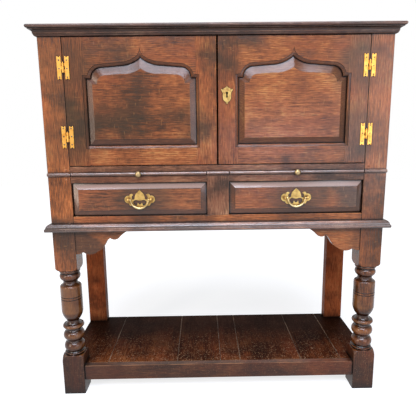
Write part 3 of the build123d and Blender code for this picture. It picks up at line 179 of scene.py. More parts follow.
def oak(
    name, tones, ruddy, stain, worn, shine, grime_and_shade="#0d0805", gloss=(0.16, 0.30),
    corner_dirt_and_shade=0.75, painted_shade_gradient=None, scuffs=0.0, iron=0.0, painted_highlight_share=0.0,
):
    """Waxed oak. Figure = weighted sum of streaks, ticks, rings, clouds, and the board's patches and tone.

    tones are the dark, middle, light and palest colours of the figure. ruddy is the redder wood of some parts
    of a board, stain the cooler dark of old polish, worn the colour of rubbed places and grime_and_shade that
    of dirt in the pores and of painted shade where surfaces meet. gloss is the range of roughness, shine the
    specular level and corner_dirt_and_shade how much dirt and painted shade lies in a corner.
    painted_shade_gradient = (direction, from, to, share, colour) is painted shade that darkens the wood one
    way, scuffs is how much of it is scuffed, iron stains it round the fittings, and painted_highlight_share is
    how much pale painted highlight lies on the slopes that look up."""
    material, node = new_material(name)
    grain = node("Attribute", out="Vector", attribute_name="grain")
    place = node("TexCoord", out="Object")
    fields = patterns(node, grain, place)
    figure = 0.0
    for field, share in (
        ("streaks", 0.13), ("ticks", 0.28), ("rings", 0.04),
        ("board", 0.21), ("clouds", 0.28), ("tone", 0.06),
    ):
        figure = node("Math", {0: fields[field], 1: share, 2: figure}, operation="MULTIPLY_ADD")
    wood = node("ValToRGB", {"Fac": figure}, stops=tuple(zip(levels, tones)))

    # what lies over the figure: a value, the two levels that stretch it to a share, that share and a colour
    layers = [
        (fields["board"], 0.47, 0.60, 0.45, ruddy),
        (fields["polish"], 0.50, 0.62, 0.80, stain),
        (fields["pores"], 0.51, 0.66, 0.60, grime_and_shade),
        (fields["flecks"], 0.64, 0.76, 0.18, tones[3]),
        (fields["scuffs"], 0.60, 0.66, scuffs, worn),
    ]

    # metal polish and hands have turned the oak round the fittings dark, the same distance left and right
    if iron:
        folded = node("VectorMath", {0: place}, operation="ABSOLUTE")
        for fitting in fittings:
            away = node("VectorMath", {0: folded, 1: fitting}, out="Value", operation="DISTANCE")
            away = node("Math", {0: fields["clouds"], 1: -0.16, 2: away}, operation="MULTIPLY_ADD")
            layers.append((away, 0.045, -0.02, iron, stain))

    # painted shade: the wood is darkened in one direction, towards the floor, the back or the left
    if painted_shade_gradient:
        direction, start, stop, share, shade = painted_shade_gradient
        reach = node("VectorMath", {0: place, 1: direction}, out="Value", operation="DOT_PRODUCT")
        reach = node("Math", {0: fields["clouds"], 1: 0.25, 2: reach}, operation="MULTIPLY_ADD")
        layers.append((reach, start, stop, share, shade))

    # the bevel of a raised field can't be rubbed, so it has kept its old dark polish, with painted shade laid
    # over it, and it takes a pale painted highlight where it looks up
    for attribute, share, colour in (("sloping", 0.65, tones[0]), ("skyward", painted_highlight_share, "#c4a698")):
        layers.append((node("Attribute", out="Fac", attribute_name=attribute), 0, 1, share, colour))

    # rubbed edges and corners show lighter wood, in patches
    edge = node("Attribute", out="Fac", attribute_name="edge")
    patch = {"Value": fields["clouds"], "From Min": 0.44, "From Max": 0.60, "To Min": 0.05, "To Max": 0.5}
    rub = node("Math", {0: node("MapRange", patch), 1: edge}, operation="MULTIPLY")
    layers.append((rub, 0, 1, 1, worn))

    # dirt and painted shade where surfaces meet: painted shade within 150 mm, a darker veil within 40 mm, and
    # nearly black within 6 mm
    for distance, shut, share in ((0.15, 0.35, 0.35), (0.04, 0.45, corner_dirt_and_shade), (0.006, 0.60, 0.95)):
        sky = node("AmbientOcclusion", {"Distance": distance}, out="AO", samples=6)
        layers.append((sky, 0.97, shut, share, grime_and_shade))
    for value, low, high, share, colour in layers:
        if share:
            stretch = {"Value": value, "From Min": low, "From Max": high, "To Max": share}
            wood = node("Mix", {0: node("MapRange", stretch), 6: wood, 7: colour}, out=2, data_type="RGBA")

    # height: the plane has left shallow facets about 60 mm long, pores sink, and the wood between stands
    height = 0.0
    for field, share in (("planing", 1.0), ("streaks", 0.35), ("ticks", 0.30), ("pores", -0.25)):
        height = node("Math", {0: fields[field], 1: share, 2: height}, operation="MULTIPLY_ADD")
    normal = node("Bump", {"Strength": 0.7, "Distance": 0.0006, "Height": height})
    ends = {"From Min": levels[0], "From Max": levels[3], "To Min": gloss[1], "To Max": gloss[0]}
    rough = node("MapRange", {"Value": figure, **ends})
    surface = {"Base Color": wood, "Roughness": rough, "Normal": normal, "Specular IOR Level": shine}
    node("OutputMaterial", {"Surface": node("BsdfPrincipled", surface)})
    return material


print("tones of an oak:", len(levels))

# %% Oaks of the case
# posts, rails and stiles: orange brown between olive patches of old polish, with painted shade darker towards
# the floor
waxed_oak = oak(
    "waxed_oak", ("#4a2611", "#8c502a", "#b46736", "#cb8f56"), ruddy="#8a4426", stain="#38271b",
    worn="#bd7f46", grime_and_shade="#0e0704", shine=0.32, iron=0.45,
    painted_shade_gradient=((0, 0, -1), -0.50, 0.03, 0.85, "#180b06"),
)
# doors and drawers are a little redder, and were handled and polished more
handled = dict(
    tones=("#40210d", "#784223", "#9a582f", "#bd834b"), ruddy="#803e21", stain="#2c2317",
    worn="#b27845", grime_and_shade="#0e0704", iron=0.6,
)
polished_oak = oak("polished_oak", **handled, gloss=(0.14, 0.28), shine=0.32)
# the drawers are pulled and wiped every day, and shine a little more, and their bevels that look up carry
# a pale painted highlight
drawer_oak = oak("drawer_oak", **handled, gloss=(0.14, 0.26), shine=0.48, painted_highlight_share=0.52)
# mouldings are hard to wipe clean, so they have kept more old polish and are browner, with more dirt and
# painted shade in their corners
browned = dict(
    tones=("#2c1b13", "#4a2f22", "#674332", "#8c6a52"), ruddy="#5a3022", stain="#2c211a",
    worn="#9c7c60", corner_dirt_and_shade=0.9,
)
moulding_oak = oak("moulding_oak", **browned, shine=0.28)
# the top has stood in the light and is waxed most often, so its nosing has a pale shine
top_oak = oak("table_top_oak", **browned, gloss=(0.18, 0.32), shine=0.42)
# the waist moulding and the beads stand out furthest, so every sleeve has rubbed them to a pale shine
rubbed_oak = oak(
    "rubbed_oak", ("#321f18", "#754c37", "#a07056", "#c09678"), ruddy="#734533", stain="#30211a",
    worn="#b8957c", shine=0.8, corner_dirt_and_shade=0.95,
)
# the rails between doors and drawers are brushed by dusters and sleeves, and lie between the two in colour
brown_oak = oak(
    "brown_oak", ("#382016", "#623e2b", "#895a40", "#ab7f5c"), ruddy="#6c3a26", stain="#2f2219",
    worn="#a88260", shine=0.28,
)
print("oaks of the case:", [m.name for m in bpy.data.materials if "oak" in m.name])

# %% Oaks of the foot, the turning, the back and the inside
# the potboard was mopped and kicked: scuffed in front, and painted shade makes it nearly black at the back
foot_oak = oak(
    "foot_worn_oak", ("#240f08", "#48210f", "#743c1e", "#9a6238"), ruddy="#6a2e1a", stain="#1a0c07",
    worn="#b8906e", grime_and_shade="#0b0604", gloss=(0.34, 0.54), shine=0.01, corner_dirt_and_shade=0.9, scuffs=0.85,
    painted_shade_gradient=((0, 1, 0), -0.06, 0.22, 0.9, "#1a0c07"),
)
# the rails round it were kicked as well, but keep some polish, and painted shade darkens them towards the left
rail_oak = oak(
    "kicked_oak", ("#291209", "#462616", "#613922", "#845636"), ruddy="#6a2e1a", stain="#2c1a12",
    worn="#a77a58", grime_and_shade="#0b0604", gloss=(0.30, 0.46), shine=0.3, corner_dirt_and_shade=0.9, scuffs=0.4,
    painted_shade_gradient=((-1, 0, 0), 0.15, 0.62, 0.55, "#1a0c07"),
)
# turned work takes more polish than flat wood, and its hollows have kept three centuries of it, with
# painted shade; painted shade also darkens it towards the floor and the left
turned_oak = oak(
    "turned_oak", ("#32180a", "#6f3b1d", "#9b5927", "#bd7b38"), ruddy="#72361b", stain="#2a1a10",
    worn="#b57e4c", grime_and_shade="#0b0604", gloss=(0.11, 0.22), shine=0.36, corner_dirt_and_shade=0.95,
    painted_shade_gradient=((-0.35, 0, -1), -0.50, 0.0, 0.6, "#1a0d07"),
)
# the back posts were never handled: redder and darker than the front
shaded_oak = oak(
    "shaded_oak", ("#4f2416", "#7c4022", "#994e2b", "#a9683d"), ruddy="#843a1c", stain="#3f2214",
    worn="#8a5535", grime_and_shade="#120a06", gloss=(0.36, 0.56), shine=0.06,
)
# inside, the wood was never waxed: dry, grey brown and matt
dry_oak = oak(
    "dry_oak", ("#4a3729", "#6b5240", "#8a6d53", "#a78b6d"), ruddy="#7d5a43", stain="#41342a",
    worn="#9d8062", grime_and_shade="#1c140e", gloss=(0.62, 0.80), shine=0.2,
)
print("oaks in all:", sum("oak" in m.name for m in bpy.data.materials))

# %% [markdown]
# ## Brass and iron
# The hinges, keyhole plate and pulls are cast or cut sheet brass, filed and polished, and brown where the
# cloth doesn't reach. The bails are cast and burnished by hands, and the slide knobs have gone dull. The lock
# and the bolt are forged iron, blacked and oiled. Tarnish is dull as well as dark, so one value drives both.

# %% Brass and iron materials


def metal(name, bright, middle, dull, gloss, specks=420.0, hammer=0.00015, shelter=0.004):
    """Polished metal with tarnish: colour and roughness follow 0.55 clouds + 0.25 specks + 0.35 openness.

    specks is their number in a metre, hammer the depth of the dents, and shelter how near, in metres, another
    surface has to be to keep the cloth away."""
    material, node = new_material(name)
    place = node("TexCoord", out="Object")
    clouds = node("TexNoise", {"Vector": place, "Scale": 70.0, "Detail": 3.0})
    fine = node("TexNoise", {"Vector": place, "Scale": specks, "Detail": 2.0})
    sky = node("AmbientOcclusion", {"Distance": shelter}, out="AO", samples=6)
    polish = 0.0
    for field, share in ((clouds, 0.55), (fine, 0.25), (sky, 0.35)):
        polish = node("Math", {0: field, 1: share, 2: polish}, operation="MULTIPLY_ADD")
    colour = node("ValToRGB", {"Fac": polish}, stops=((0.36, dull), (0.62, middle), (0.82, bright)))
    ends = {"From Min": 0.35, "From Max": 0.85, "To Min": gloss[1], "To Max": gloss[0]}
    rough = node("MapRange", {"Value": polish, **ends})
    normal = node("Bump", {"Strength": 0.6, "Distance": hammer, "Height": clouds})
    surface = {"Base Color": colour, "Roughness": rough, "Normal": normal, "Metallic": 1.0}
    node("OutputMaterial", {"Surface": node("BsdfPrincipled", surface)})
    return material


sheet_brass = metal("filed_brass", "#d8a350", "#b07730", "#432a15", (0.30, 0.55))
turned_brass = metal("turned_brass", "#d2bb8a", "#9c8355", "#453422", (0.24, 0.44))
pull_brass = metal("pull_brass", "#c8a461", "#8a683a", "#2a1c10", (0.30, 0.52), shelter=0.012)
dull_brass = metal("dull_brass", "#a08a64", "#6a553a", "#35281a", (0.38, 0.60))
forged_iron = metal("oiled_iron", "#57504a", "#393330", "#1c1816", (0.45, 0.70), specks=900.0, hammer=0.0004)
print("metals:", [m.name for m in (sheet_brass, turned_brass, pull_brass, dull_brass, forged_iron)])

# %% [markdown]
# ## Board coordinates
# Every piece of wood needs three facts on its mesh: the grain coordinates, one tone for each board, and which
# faces are worn edges. A node may hold several boards, so connected parts are numbered first. The longest
# side of a board's box is taken as its grain, because a joiner cuts a board that way.

# %% Number the boards
chance = np.random.default_rng(1671)


def board_numbers(mesh):
    """Number the connected parts: a vertex takes the lowest label among its neighbours until none changes."""
    edges = np.empty(len(mesh.edges) * 2, np.int32)
    mesh.edges.foreach_get("vertices", edges)
    edges = edges.reshape(-1, 2)
    label = np.arange(len(mesh.vertices))
    while True:
        low = np.minimum(label[edges[:, 0]], label[edges[:, 1]])
        new = label.copy()
        np.minimum.at(new, edges[:, 0], low)
        np.minimum.at(new, edges[:, 1], low)
        new = new[new]
        if (new == label).all():
            return np.unique(label, return_inverse=True)[1].reshape(-1)
        label = new


def positions(mesh):
    """Vertices as an array of shape (n, 3)."""
    flat = np.empty(len(mesh.vertices) * 3, np.float32)
    mesh.vertices.foreach_get("co", flat)
    return flat.reshape(-1, 3)


print("first chance number:", round(float(chance.uniform()), 4))

# %% Write the grain


def write_attribute(mesh, name, kind, domain, values):
    """Put an array on the mesh under this name."""
    field = "vector" if kind == "FLOAT_VECTOR" else "value"
    values = np.ascontiguousarray(values, np.float32).ravel()
    mesh.attributes.new(name, kind, domain).data.foreach_set(field, values)


def write_grain(mesh, along=None):
    """Grain = (longest, middle, shortest axis of a board's box) in metres, moved by chance for each board."""
    spots = positions(mesh)
    board = board_numbers(mesh)
    grain = np.zeros_like(spots)
    tone = np.zeros(len(spots))
    for number in range(board.max() + 1):
        here = board == number
        size = np.ptp(spots[here], axis=0)
        order = np.argsort(-size)
        if along is not None:
            order = np.array([along] + [axis for axis in order if axis != along])
        middle = (spots[here].max(0) + spots[here].min(0)) / 2
        shift = np.array([chance.uniform(0, 9), chance.uniform(0.03, 0.16), chance.uniform(-0.10, 0.10)])
        grain[here] = (spots[here] - middle)[:, order] + shift
        tone[here] = chance.uniform(0.15, 0.85)
    write_attribute(mesh, "grain", "FLOAT_VECTOR", "POINT", grain)
    write_attribute(mesh, "tone", "FLOAT", "POINT", tone)


print("a node comes as", len(frame["nodes"]["top_boards"].data.polygons), "loose triangles")

# %% [markdown]
# ## Easing the joiner's edges
# No edge on an old piece is sharp: the arris has been knocked and polished to a millimetre or so. A Bevel
# modifier could round it, but its faces couldn't be told from the rest. So a copy of each node is merged, its
# flat faces are joined, and its outer edges are bevelled in two facets, noted as worn, where the oak is pale.

# %% Ease the edges of a node


def eased(node, width):
    """Mesh of a node with its convex edges past 40 degrees bevelled by width, in metres.

    A face slopes when the largest part of its normal lies between cos 30 and cos 8 degrees; it then takes
    old dark polish and painted shade, and a pale painted highlight as well when it looks up. An edge stays
    smooth between faces of one kind that meet at under 22 degrees."""
    mesh = frame["nodes"][node].data.copy()
    mesh.name = node + "_eased"
    work = bmesh.new()
    work.from_mesh(mesh)
    bmesh.ops.remove_doubles(work, verts=work.verts, dist=1e-6)
    bmesh.ops.dissolve_limit(work, angle_limit=math.radians(0.6), verts=work.verts, edges=work.edges)
    worn = work.faces.layers.float.new("edge")
    sloping = work.faces.layers.float.new("sloping")
    skyward = work.faces.layers.float.new("skyward")
    for face in work.faces:
        # a face that slopes takes old dark polish and painted shade
        face[sloping] = float(0.866 < max(map(abs, face.normal)) < 0.990)
        # a face that slopes and looks up also takes a pale painted highlight
        face[skyward] = face[sloping] * (0.1 < face.normal.z < 0.9)
    if width:
        outer = [e for e in work.edges if e.is_manifold and e.is_convex]
        keen = [e for e in outer if e.calc_face_angle(0) > math.radians(40)]
        made = bmesh.ops.bevel(
            work, geom=keen, offset=width, segments=2, profile=0.5, affect="EDGES", clamp_overlap=True,
        )
        for face in made["faces"]:
            face[worn] = 1.0
            face[sloping] = face[skyward] = 0.0
    for face in work.faces:
        face.smooth = True
    for e in work.edges:
        faces = e.link_faces
        if len(faces) == 2:
            step = faces[0][worn] != faces[1][worn]
            slope = faces[0][sloping] != faces[1][sloping]
            e.smooth = not (step or slope) and e.calc_face_angle(0) < math.radians(22)
    work.to_mesh(mesh)
    work.free()
    return mesh


def placed(name, data):
    """A new object in the scene."""
    made = bpy.data.objects.new(name, data)
    bpy.context.scene.collection.objects.link(made)
    return made


def dress(node, material, width):
    """Stand an eased copy in for a node, with its grain, material and body."""
    mesh = eased(node, width)
    write_grain(mesh)
    mesh.materials.clear()
    mesh.materials.append(material)
    piece = placed(node + "_finished", mesh)
    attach(piece, body_of[node])
    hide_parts(node)
    return piece


node_slot = {part["node"]: part["material_slot"] for part in frame["record"]["subparts"]}
print("slots:", sorted(set(node_slot.values())))

# %% Choose the finishes
# the finish and the easing in metres of each slot, and then the nodes that have a finish of their own
finishes = {
    "oak_frame": (waxed_oak, 0.0010),
    "oak_panels": (polished_oak, 0.0009),
    "oak_potboard": (foot_oak, 0.0014),
    "oak_inside": (dry_oak, 0.0006),
    "brass": (sheet_brass, 0.0003),
    "knob_brass": (dull_brass, 0.0),
    "iron": (forged_iron, 0.0004),
}
own_nodes = (
    (rail_oak, "potboard_front_rail potboard_side_rails"),
    (moulding_oak, "cornice"),
    (top_oak, "top_boards"),
    (rubbed_oak, "front_beads left_slide right_slide waist_moulding"),
    (drawer_oak, "left_drawer_front right_drawer_front"),
    (brown_oak, "centre_muntin door_rail drawer_rails"),
    (waxed_oak, "bracket_left bracket_right"),
    (shaded_oak, "back_posts"),
    (pull_brass, "left_pull_backplate right_pull_backplate escutcheon"),
)
own_finish = {node: finish for finish, nodes in own_nodes for node in nodes.split()}
print("nodes with a finish of their own:", len(own_finish))

# %% Dress the nodes
made_anew = ("front_post_left", "front_post_right", "left_pull_bail", "right_pull_bail", "tenon_pegs")
pieces = {}
for name in sorted(frame["nodes"]):
    if name not in made_anew:
        material, width = finishes[node_slot[name]]
        pieces[name] = dress(name, own_finish.get(name, material), width)
print("dressed", len(pieces), "nodes")

# %% [markdown]
# ## Shrinkage and wear
# Oak shrinks across its grain and wears where it is touched, so no two gaps are alike. These boards could be
# modelled again, but it is easier to find the vertices of an edge by their place and to shift them a little.

# %% Close the back and deepen the drawers' rims
back_gap = 0.00079


def move(mesh, spots):
    """Put the vertices of a mesh in new places."""
    mesh.vertices.foreach_set("co", spots.ravel())
    mesh.update()


# the back boards were driven up against each other, so no light comes between them
mesh = pieces["back_boards"].data
spots, board = positions(mesh), board_numbers(mesh)
for number in range(board.max() + 1):
    across = spots[board == number, 0]
    middle, width = (across.max() + across.min()) / 2, np.ptp(across)
    spots[board == number, 0] = middle + (across - middle) * (width + back_gap) / width
move(mesh, spots)
print("closed the joints of", board.max() + 1, "back boards")

# the plane went deeper at the rim of a drawer than at its field, so the bevels are steeper than a plain
# fielding. Depths are counted from the foot of the field's step, and moves say how far back each one goes
field_step = 0.0013
rim_depths = np.array([0.0, 0.0050, 0.0070, 0.0071])
rim_moves = np.array([0.0, 0.003, 0.003, 0.0])
for name in ("left_drawer_front", "right_drawer_front"):
    mesh = pieces[name].data
    spots = positions(mesh)
    field_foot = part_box(name)[0].y + field_step
    spots[:, 1] += np.interp(spots[:, 1], field_foot + rim_depths, rim_moves)
    move(mesh, spots)
print("drawer bevels rise", round(1000 * float(rim_depths[1] + rim_moves[1]), 1), "mm over 20 mm")

# %% Wear the doors and the slides
# the doors have worn at the foot and where they meet, and sit close to the posts
worn_away = 0.0012
toward_post = 0.3
# how near to an edge, in metres, a vertex has to be to move with it
edge_reach = 0.004
meeting_reach = 0.006
slide_reach = 0.002
inner_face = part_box("front_post_right")[0].x
for hand, way in (("left", -1), ("right", 1)):
    low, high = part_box(f"{hand}_door_stiles")
    hinge_side = low.x if hand == "left" else high.x
    for name in (f"{hand}_door_stiles", f"{hand}_door_bottom_rail"):
        mesh = pieces[name].data
        spots = positions(mesh)
        spots[:, 0] += way * worn_away * (abs(spots[:, 0]) < meeting_reach)
        at_hinge = abs(spots[:, 0] - hinge_side) < edge_reach
        spots[:, 0] += way * toward_post * (inner_face - abs(hinge_side)) * at_hinge
        spots[:, 2] += worn_away * (spots[:, 2] < low.z + edge_reach)
        move(mesh, spots)
    print(hand, "door: hinge side", round(hinge_side, 4), "foot", round(low.z, 4))

    # the candle slides have shrunk along their ends as well
    mesh = pieces[f"{hand}_slide"].data
    spots = positions(mesh)
    for end, inward in ((spots[:, 0].min(), 1), (spots[:, 0].max(), -1)):
        spots[:, 0] += inward * worn_away * (abs(spots[:, 0] - end) < slide_reach)
    move(mesh, spots)

# %% [markdown]
# ## The turned posts
# Each front post is one square timber. The joiner turned its lower part between the case and the foot: a
# ring, two balls and a disc under a long barrel with two grooves, and a bead above. A cut with a lathed
# solid leaves slivers. As a surface, the post is the nearer of two shapes at every angle and height: the
# square of the timber and the circle of the lathe. The corners of the square survive where the lathe's radius
# is larger, which gives the rounded shoulders by itself.

# %% Sizes of a post
post_low, post_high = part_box("front_post_left")
post_half = (post_high.x - post_low.x) / 2
turning_foot = 0.150
barrel_radius = 0.0372
corner_radius = 0.0547
eased_corner = 0.0525
# in millimetres: the radius where the turning starts, and the heights of the shoulders under and over it
first_radius = 33.0
shoulders = (30, 16)
# each member from the bottom up: height, radius at its middle, radius at its top, in millimetres
members = (
    (7.0, 36.0, 31.0), (3.0, 30.0, 29.0), (34.0, 36.5, 29.0), (9.0, 26.5, 28.5), (33.0, 37.2, 28.0),
    (11.0, 25.5, 27.5), (15.0, 37.2, 26.5), (14.0, 22.5, 21.5), (34.0, 32.5, 37.2), (47.0, 37.2, 37.2),
    (3.0, 35.2, 37.2), (6.0, 37.2, 37.2), (3.0, 35.2, 37.2), (34.0, 37.2, 37.2), (7.0, 36.0, 32.0),
    (19.0, 25.0, 29.5), (24.0, 36.0, 31.5), (3.0, 30.5, 33.0), (11.0, 36.6, 33.5),
)
turning_head = turning_foot + sum(member[0] for member in members) / 1000
print("the turning runs from", turning_foot, "to", round(turning_head, 3), "m")

# %% Profile of a post


def member_profile(start, middle, end, height, count=13):
    """Radius and height along the circle through (start, 0), (middle, height/2) and (end, height).

    The centre solves the two equations of equal distance, and the angle runs from the first point to the
    last by way of the middle."""
    a, b, c = np.array([[start, 0.0], [middle, height / 2], [end, height]])
    system = 2 * np.array([b - a, c - a])
    if abs(np.linalg.det(system)) < 1e-3:
        share = np.linspace(0, 1, count)
        return start + (end - start) * share, height * share
    centre = np.linalg.solve(system, [b @ b - a @ a, c @ c - a @ a])
    angles = np.unwrap([math.atan2(*(p - centre)[::-1]) for p in (a, b, c)])
    turn = np.linspace(angles[0], angles[2], count)
    reach = np.linalg.norm(a - centre)
    return centre[0] + reach * np.cos(turn), centre[1] + reach * np.sin(turn)


def lathe_profile():
    """Heights and radii of the post in metres: square stock, shoulder, turning, shoulder, square stock.

    Along a shoulder t runs from 0 at the turning to 1: its height goes as t to the power 1.6 and its radius
    as the root of t. Where the stock is left square the lathe's radius is 1 m, which never cuts."""
    heights, radii = [], []
    level, start = turning_foot * 1000, first_radius
    for height, middle, end in members:
        radius, rise = member_profile(start, middle, end, height)
        heights.append(level + rise)
        radii.append(radius)
        level, start = level + height, end
    run = np.linspace(0, 1, 9)
    spread = barrel_radius * 1000 + (corner_radius - barrel_radius) * 1000 * np.sqrt(run)
    lower = turning_foot * 1000 - shoulders[0] * run[::-1] ** 1.6
    upper = level + shoulders[1] * run**1.6
    z = np.concatenate([lower, *heights, upper]) / 1000
    r = np.concatenate([spread[::-1], *radii, spread]) / 1000
    below = np.linspace(0.004, z[0] - 0.006, 7)
    above = np.linspace(z[-1] + 0.008, post_high.z - 0.002, 40)
    z = np.concatenate([[0.0, 0.0012], below, z, above, [post_high.z]])
    r = np.concatenate([[eased_corner, 1.0], np.ones(len(below)), r, np.ones(len(above)), [eased_corner]])
    return z, r


heights, radii = lathe_profile()
print("post profile rows:", len(heights), "thinnest radius:", round(float(radii.min()), 4), "m")

# %% Mesh helpers


def tube(grid):
    """Vertices, quads and two end faces of a closed tube, from rows of points as (rows, columns, 3).

    Each quad joins a point to the next one round and to the two above them, so that it faces outwards."""
    rows, columns = grid.shape[:2]
    row, column = np.meshgrid(np.arange(rows - 1), np.arange(columns), indexing="ij")
    here, beside = row * columns + column, row * columns + (column + 1) % columns
    quads = np.stack([here, beside, beside + columns, here + columns], -1).reshape(-1, 4)
    ring = np.arange(columns)
    return grid.reshape(-1, 3), quads, [ring[::-1], (rows - 1) * columns + ring]


def build(name, spots, quads, caps=()):
    """Mesh from vertices, quads and end caps; caps are lists of vertex numbers."""
    mesh = bpy.data.meshes.new(name)
    mesh.from_pydata(spots.tolist(), [], [*quads.tolist(), *[list(map(int, cap)) for cap in caps]])
    mesh.validate()
    mesh.update()
    return mesh


def settle(mesh, worn=0.0, sloping=0.0):
    """Shade smooth, with sharp edges past 34 degrees, and write how far a face is worn or darkened by dirt and
    painted shade.
    """
    mesh.shade_smooth()
    mesh.set_sharp_from_angle(angle=math.radians(34))
    for name, share in (("edge", worn), ("sloping", sloping)):
        write_attribute(mesh, name, "FLOAT", "FACE", np.zeros(len(mesh.polygons)) + share)


def show(mesh, material, body, stands_for=()):
    """Give a mesh its material and body, and hide the nodes that it stands for."""
    mesh.materials.append(material)
    piece = placed(mesh.name, mesh)
    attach(piece, body)
    if stands_for:
        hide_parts(*stands_for)


print("a tube of 2 rows of 4 points has", len(tube(np.zeros((2, 4, 3)))[1]), "quads and 2 ends")

# %% Posts


def post_surface(middle_x, middle_y, seed):
    """r(angle, z) = min(square with eased corners, lathe radius), less small tool marks.

    The square of half side h at an angle is h / max(|cos|, |sin|), held to the eased corner. Marks are rings
    0.15 mm deep on the turning and slow plane marks 0.24 mm deep on the square, always inwards."""
    ring_half, ring_pitch, plane_half = 0.000075, 0.0031, 0.00012
    corner, next_corner = np.linspace(-45, -40, 4)[:-1], np.linspace(40, 45, 4)[1:-1]
    quarter = np.concatenate([corner, np.linspace(-40, 40, 19), next_corner])
    angle = np.radians(np.concatenate([quarter + 90 * k for k in range(4)]))
    square = np.minimum(post_half / np.maximum(abs(np.cos(angle)), abs(np.sin(angle))), eased_corner)
    level = heights[:, None] + 0 * angle
    lathe = radii[:, None] + 0 * angle
    rings = ring_half * (1 + np.sin(level * 2 * np.pi / ring_pitch + seed))
    planed = plane_half * (1 + np.sin(level * 31 + 3 * angle + seed) * np.cos(level * 13 - seed))
    reach = np.minimum(square, lathe) - np.where(lathe < 0.0375, rings, planed)
    return tube(np.stack([middle_x + reach * np.cos(angle), middle_y + reach * np.sin(angle), level], -1))


for hand, seed in (("left", 0.7), ("right", 2.9)):
    low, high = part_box(f"front_post_{hand}")
    axis = [(low.x + high.x) / 2, (low.y + high.y) / 2]
    spots, quads, caps = post_surface(*axis, seed)
    mesh = build(f"front_post_{hand}_turned", spots, quads, caps)
    middles = np.empty(len(mesh.polygons) * 3, np.float32)
    mesh.polygons.foreach_get("center", middles)
    middles = middles.reshape(-1, 3)
    # dirt and painted shade darken the turning where it is under 34.5 mm in radius, and hands and cloths have
    # rubbed the rounds past 35.5 mm
    reach = np.linalg.norm(middles[:, :2] - axis, axis=1)
    rubbed = np.clip((reach - 0.0355) / 0.0015, 0, 1) * (reach < 0.0374) * 0.4
    settle(mesh, rubbed, np.clip((0.0345 - reach) / 0.006, 0, 1))
    write_grain(mesh, along=2)
    show(mesh, waxed_oak, "carcass", [f"front_post_{hand}"])
    # one timber with three finishes: waxed square, polished turning and kicked foot
    mesh.materials.append(turned_oak)
    mesh.materials.append(rail_oak)
    finish = np.where(middles[:, 2] < turning_foot - 0.004, 2, middles[:, 2] < turning_head)
    mesh.polygons.foreach_set("material_index", finish.astype(np.int32))
    print(mesh.name, len(mesh.polygons), "faces, box", np.round([spots.min(0), spots.max(0)], 4).tolist())

# %% [markdown]
# ## Pegs
# The tenons are pinned with riven oak pegs. They were cut flush, but the rails have shrunk since, so each
# stands a hair proud with a domed end. Balls would have far more faces than they deserve, so an end is a low
# dome of a few rings on a stub, and all are one mesh, because none moves.

# %% Pegs


def peg_ends():
    """Low and high corner of every peg, from a merged copy of the node."""
    mesh = eased("tenon_pegs", 0)
    spots, number = positions(mesh), board_numbers(mesh)
    return [(spots[number == n].min(0), spots[number == n].max(0)) for n in range(number.max() + 1)]


def dome(centre, out, radius, rise, sides, root):
    """Disc domed by rise * (1 - (r/radius) squared) that faces a level direction, on a stub sunk by root."""
    aside = np.cross(out, [0.0, 0.0, 1.0])
    up = np.cross(out, aside)
    shares = np.linspace(1, 0.12, 4)
    height = np.concatenate([[-root], rise * (1 - shares**2)])
    reach = radius * np.concatenate([[1.0], shares])
    turn = np.linspace(0, 2 * np.pi, sides, endpoint=False)
    circle = np.cos(turn)[:, None] * aside + np.sin(turn)[:, None] * up
    return tube(centre + reach[:, None, None] * circle + height[:, None, None] * np.asarray(out, float))


def joined(name, parts):
    """One mesh from several (vertices, quads, caps) sets."""
    spots, quads, caps, start = [], [], [], 0
    for part_spots, part_quads, part_caps in parts:
        spots.append(part_spots)
        quads.append(part_quads + start)
        caps += [cap + start for cap in part_caps]
        start += len(part_spots)
    return build(name, np.concatenate(spots), np.concatenate(quads), caps)


stubs = []
for low, high in peg_ends():
    axis = int(np.argmax(high - low))
    face = (low + high) / 2
    out = np.zeros(3)
    out[axis] = -1.0 if axis == 1 else math.copysign(1.0, face[0])
    face[axis] = (low if out[axis] < 0 else high)[axis]
    stubs.append(dome(face, out, radius=0.0040, rise=0.0008, sides=8, root=0.010))
mesh = joined("oak_peg_ends", stubs)
settle(mesh, 0.35)
write_grain(mesh)
show(mesh, waxed_oak, "carcass", ["tenon_pegs"])
print("pegs:", len(stubs))

# %% [markdown]
# ## Dust between the potboard's boards
# Wax and house dust have packed the joints of the potboard, and lie there as broken pale lines. Colour on
# the boards would look flat, so each line is a low ridge that runs from front to back, a little under the
# boards' eased edges, and sinks away here and there.

# %% Dust material
# house dust bound with wax is pale, dull and lumpy
material, node = new_material("packed_dust")
place = node("TexCoord", out="Object")
lumps = node("TexNoise", {"Vector": place, "Scale": 240.0, "Detail": 3.0})
colour = node("ValToRGB", {"Fac": lumps}, stops=((0.38, "#2c221b"), (0.52, "#665a4e"), (0.66, "#9c9082")))
normal = node("Bump", {"Strength": 0.6, "Distance": 0.0005, "Height": lumps})
surface = {"Base Color": colour, "Roughness": 0.9, "Normal": normal, "Specular IOR Level": 0.1}
node("OutputMaterial", {"Surface": node("BsdfPrincipled", surface)})
print("made", material.name)

# %% Lines of dust
mesh = pieces["potboard_boards"].data
spots, board = positions(mesh), board_numbers(mesh)
widths = [spots[board == number, 0] for number in range(board.max() + 1)]
sides = sorted((width.min(), width.max()) for width in widths)
low, high = spots.min(0), spots.max(0)
steps = 61
along = np.linspace(low[1] + 0.002, high[1] - 0.002, steps)
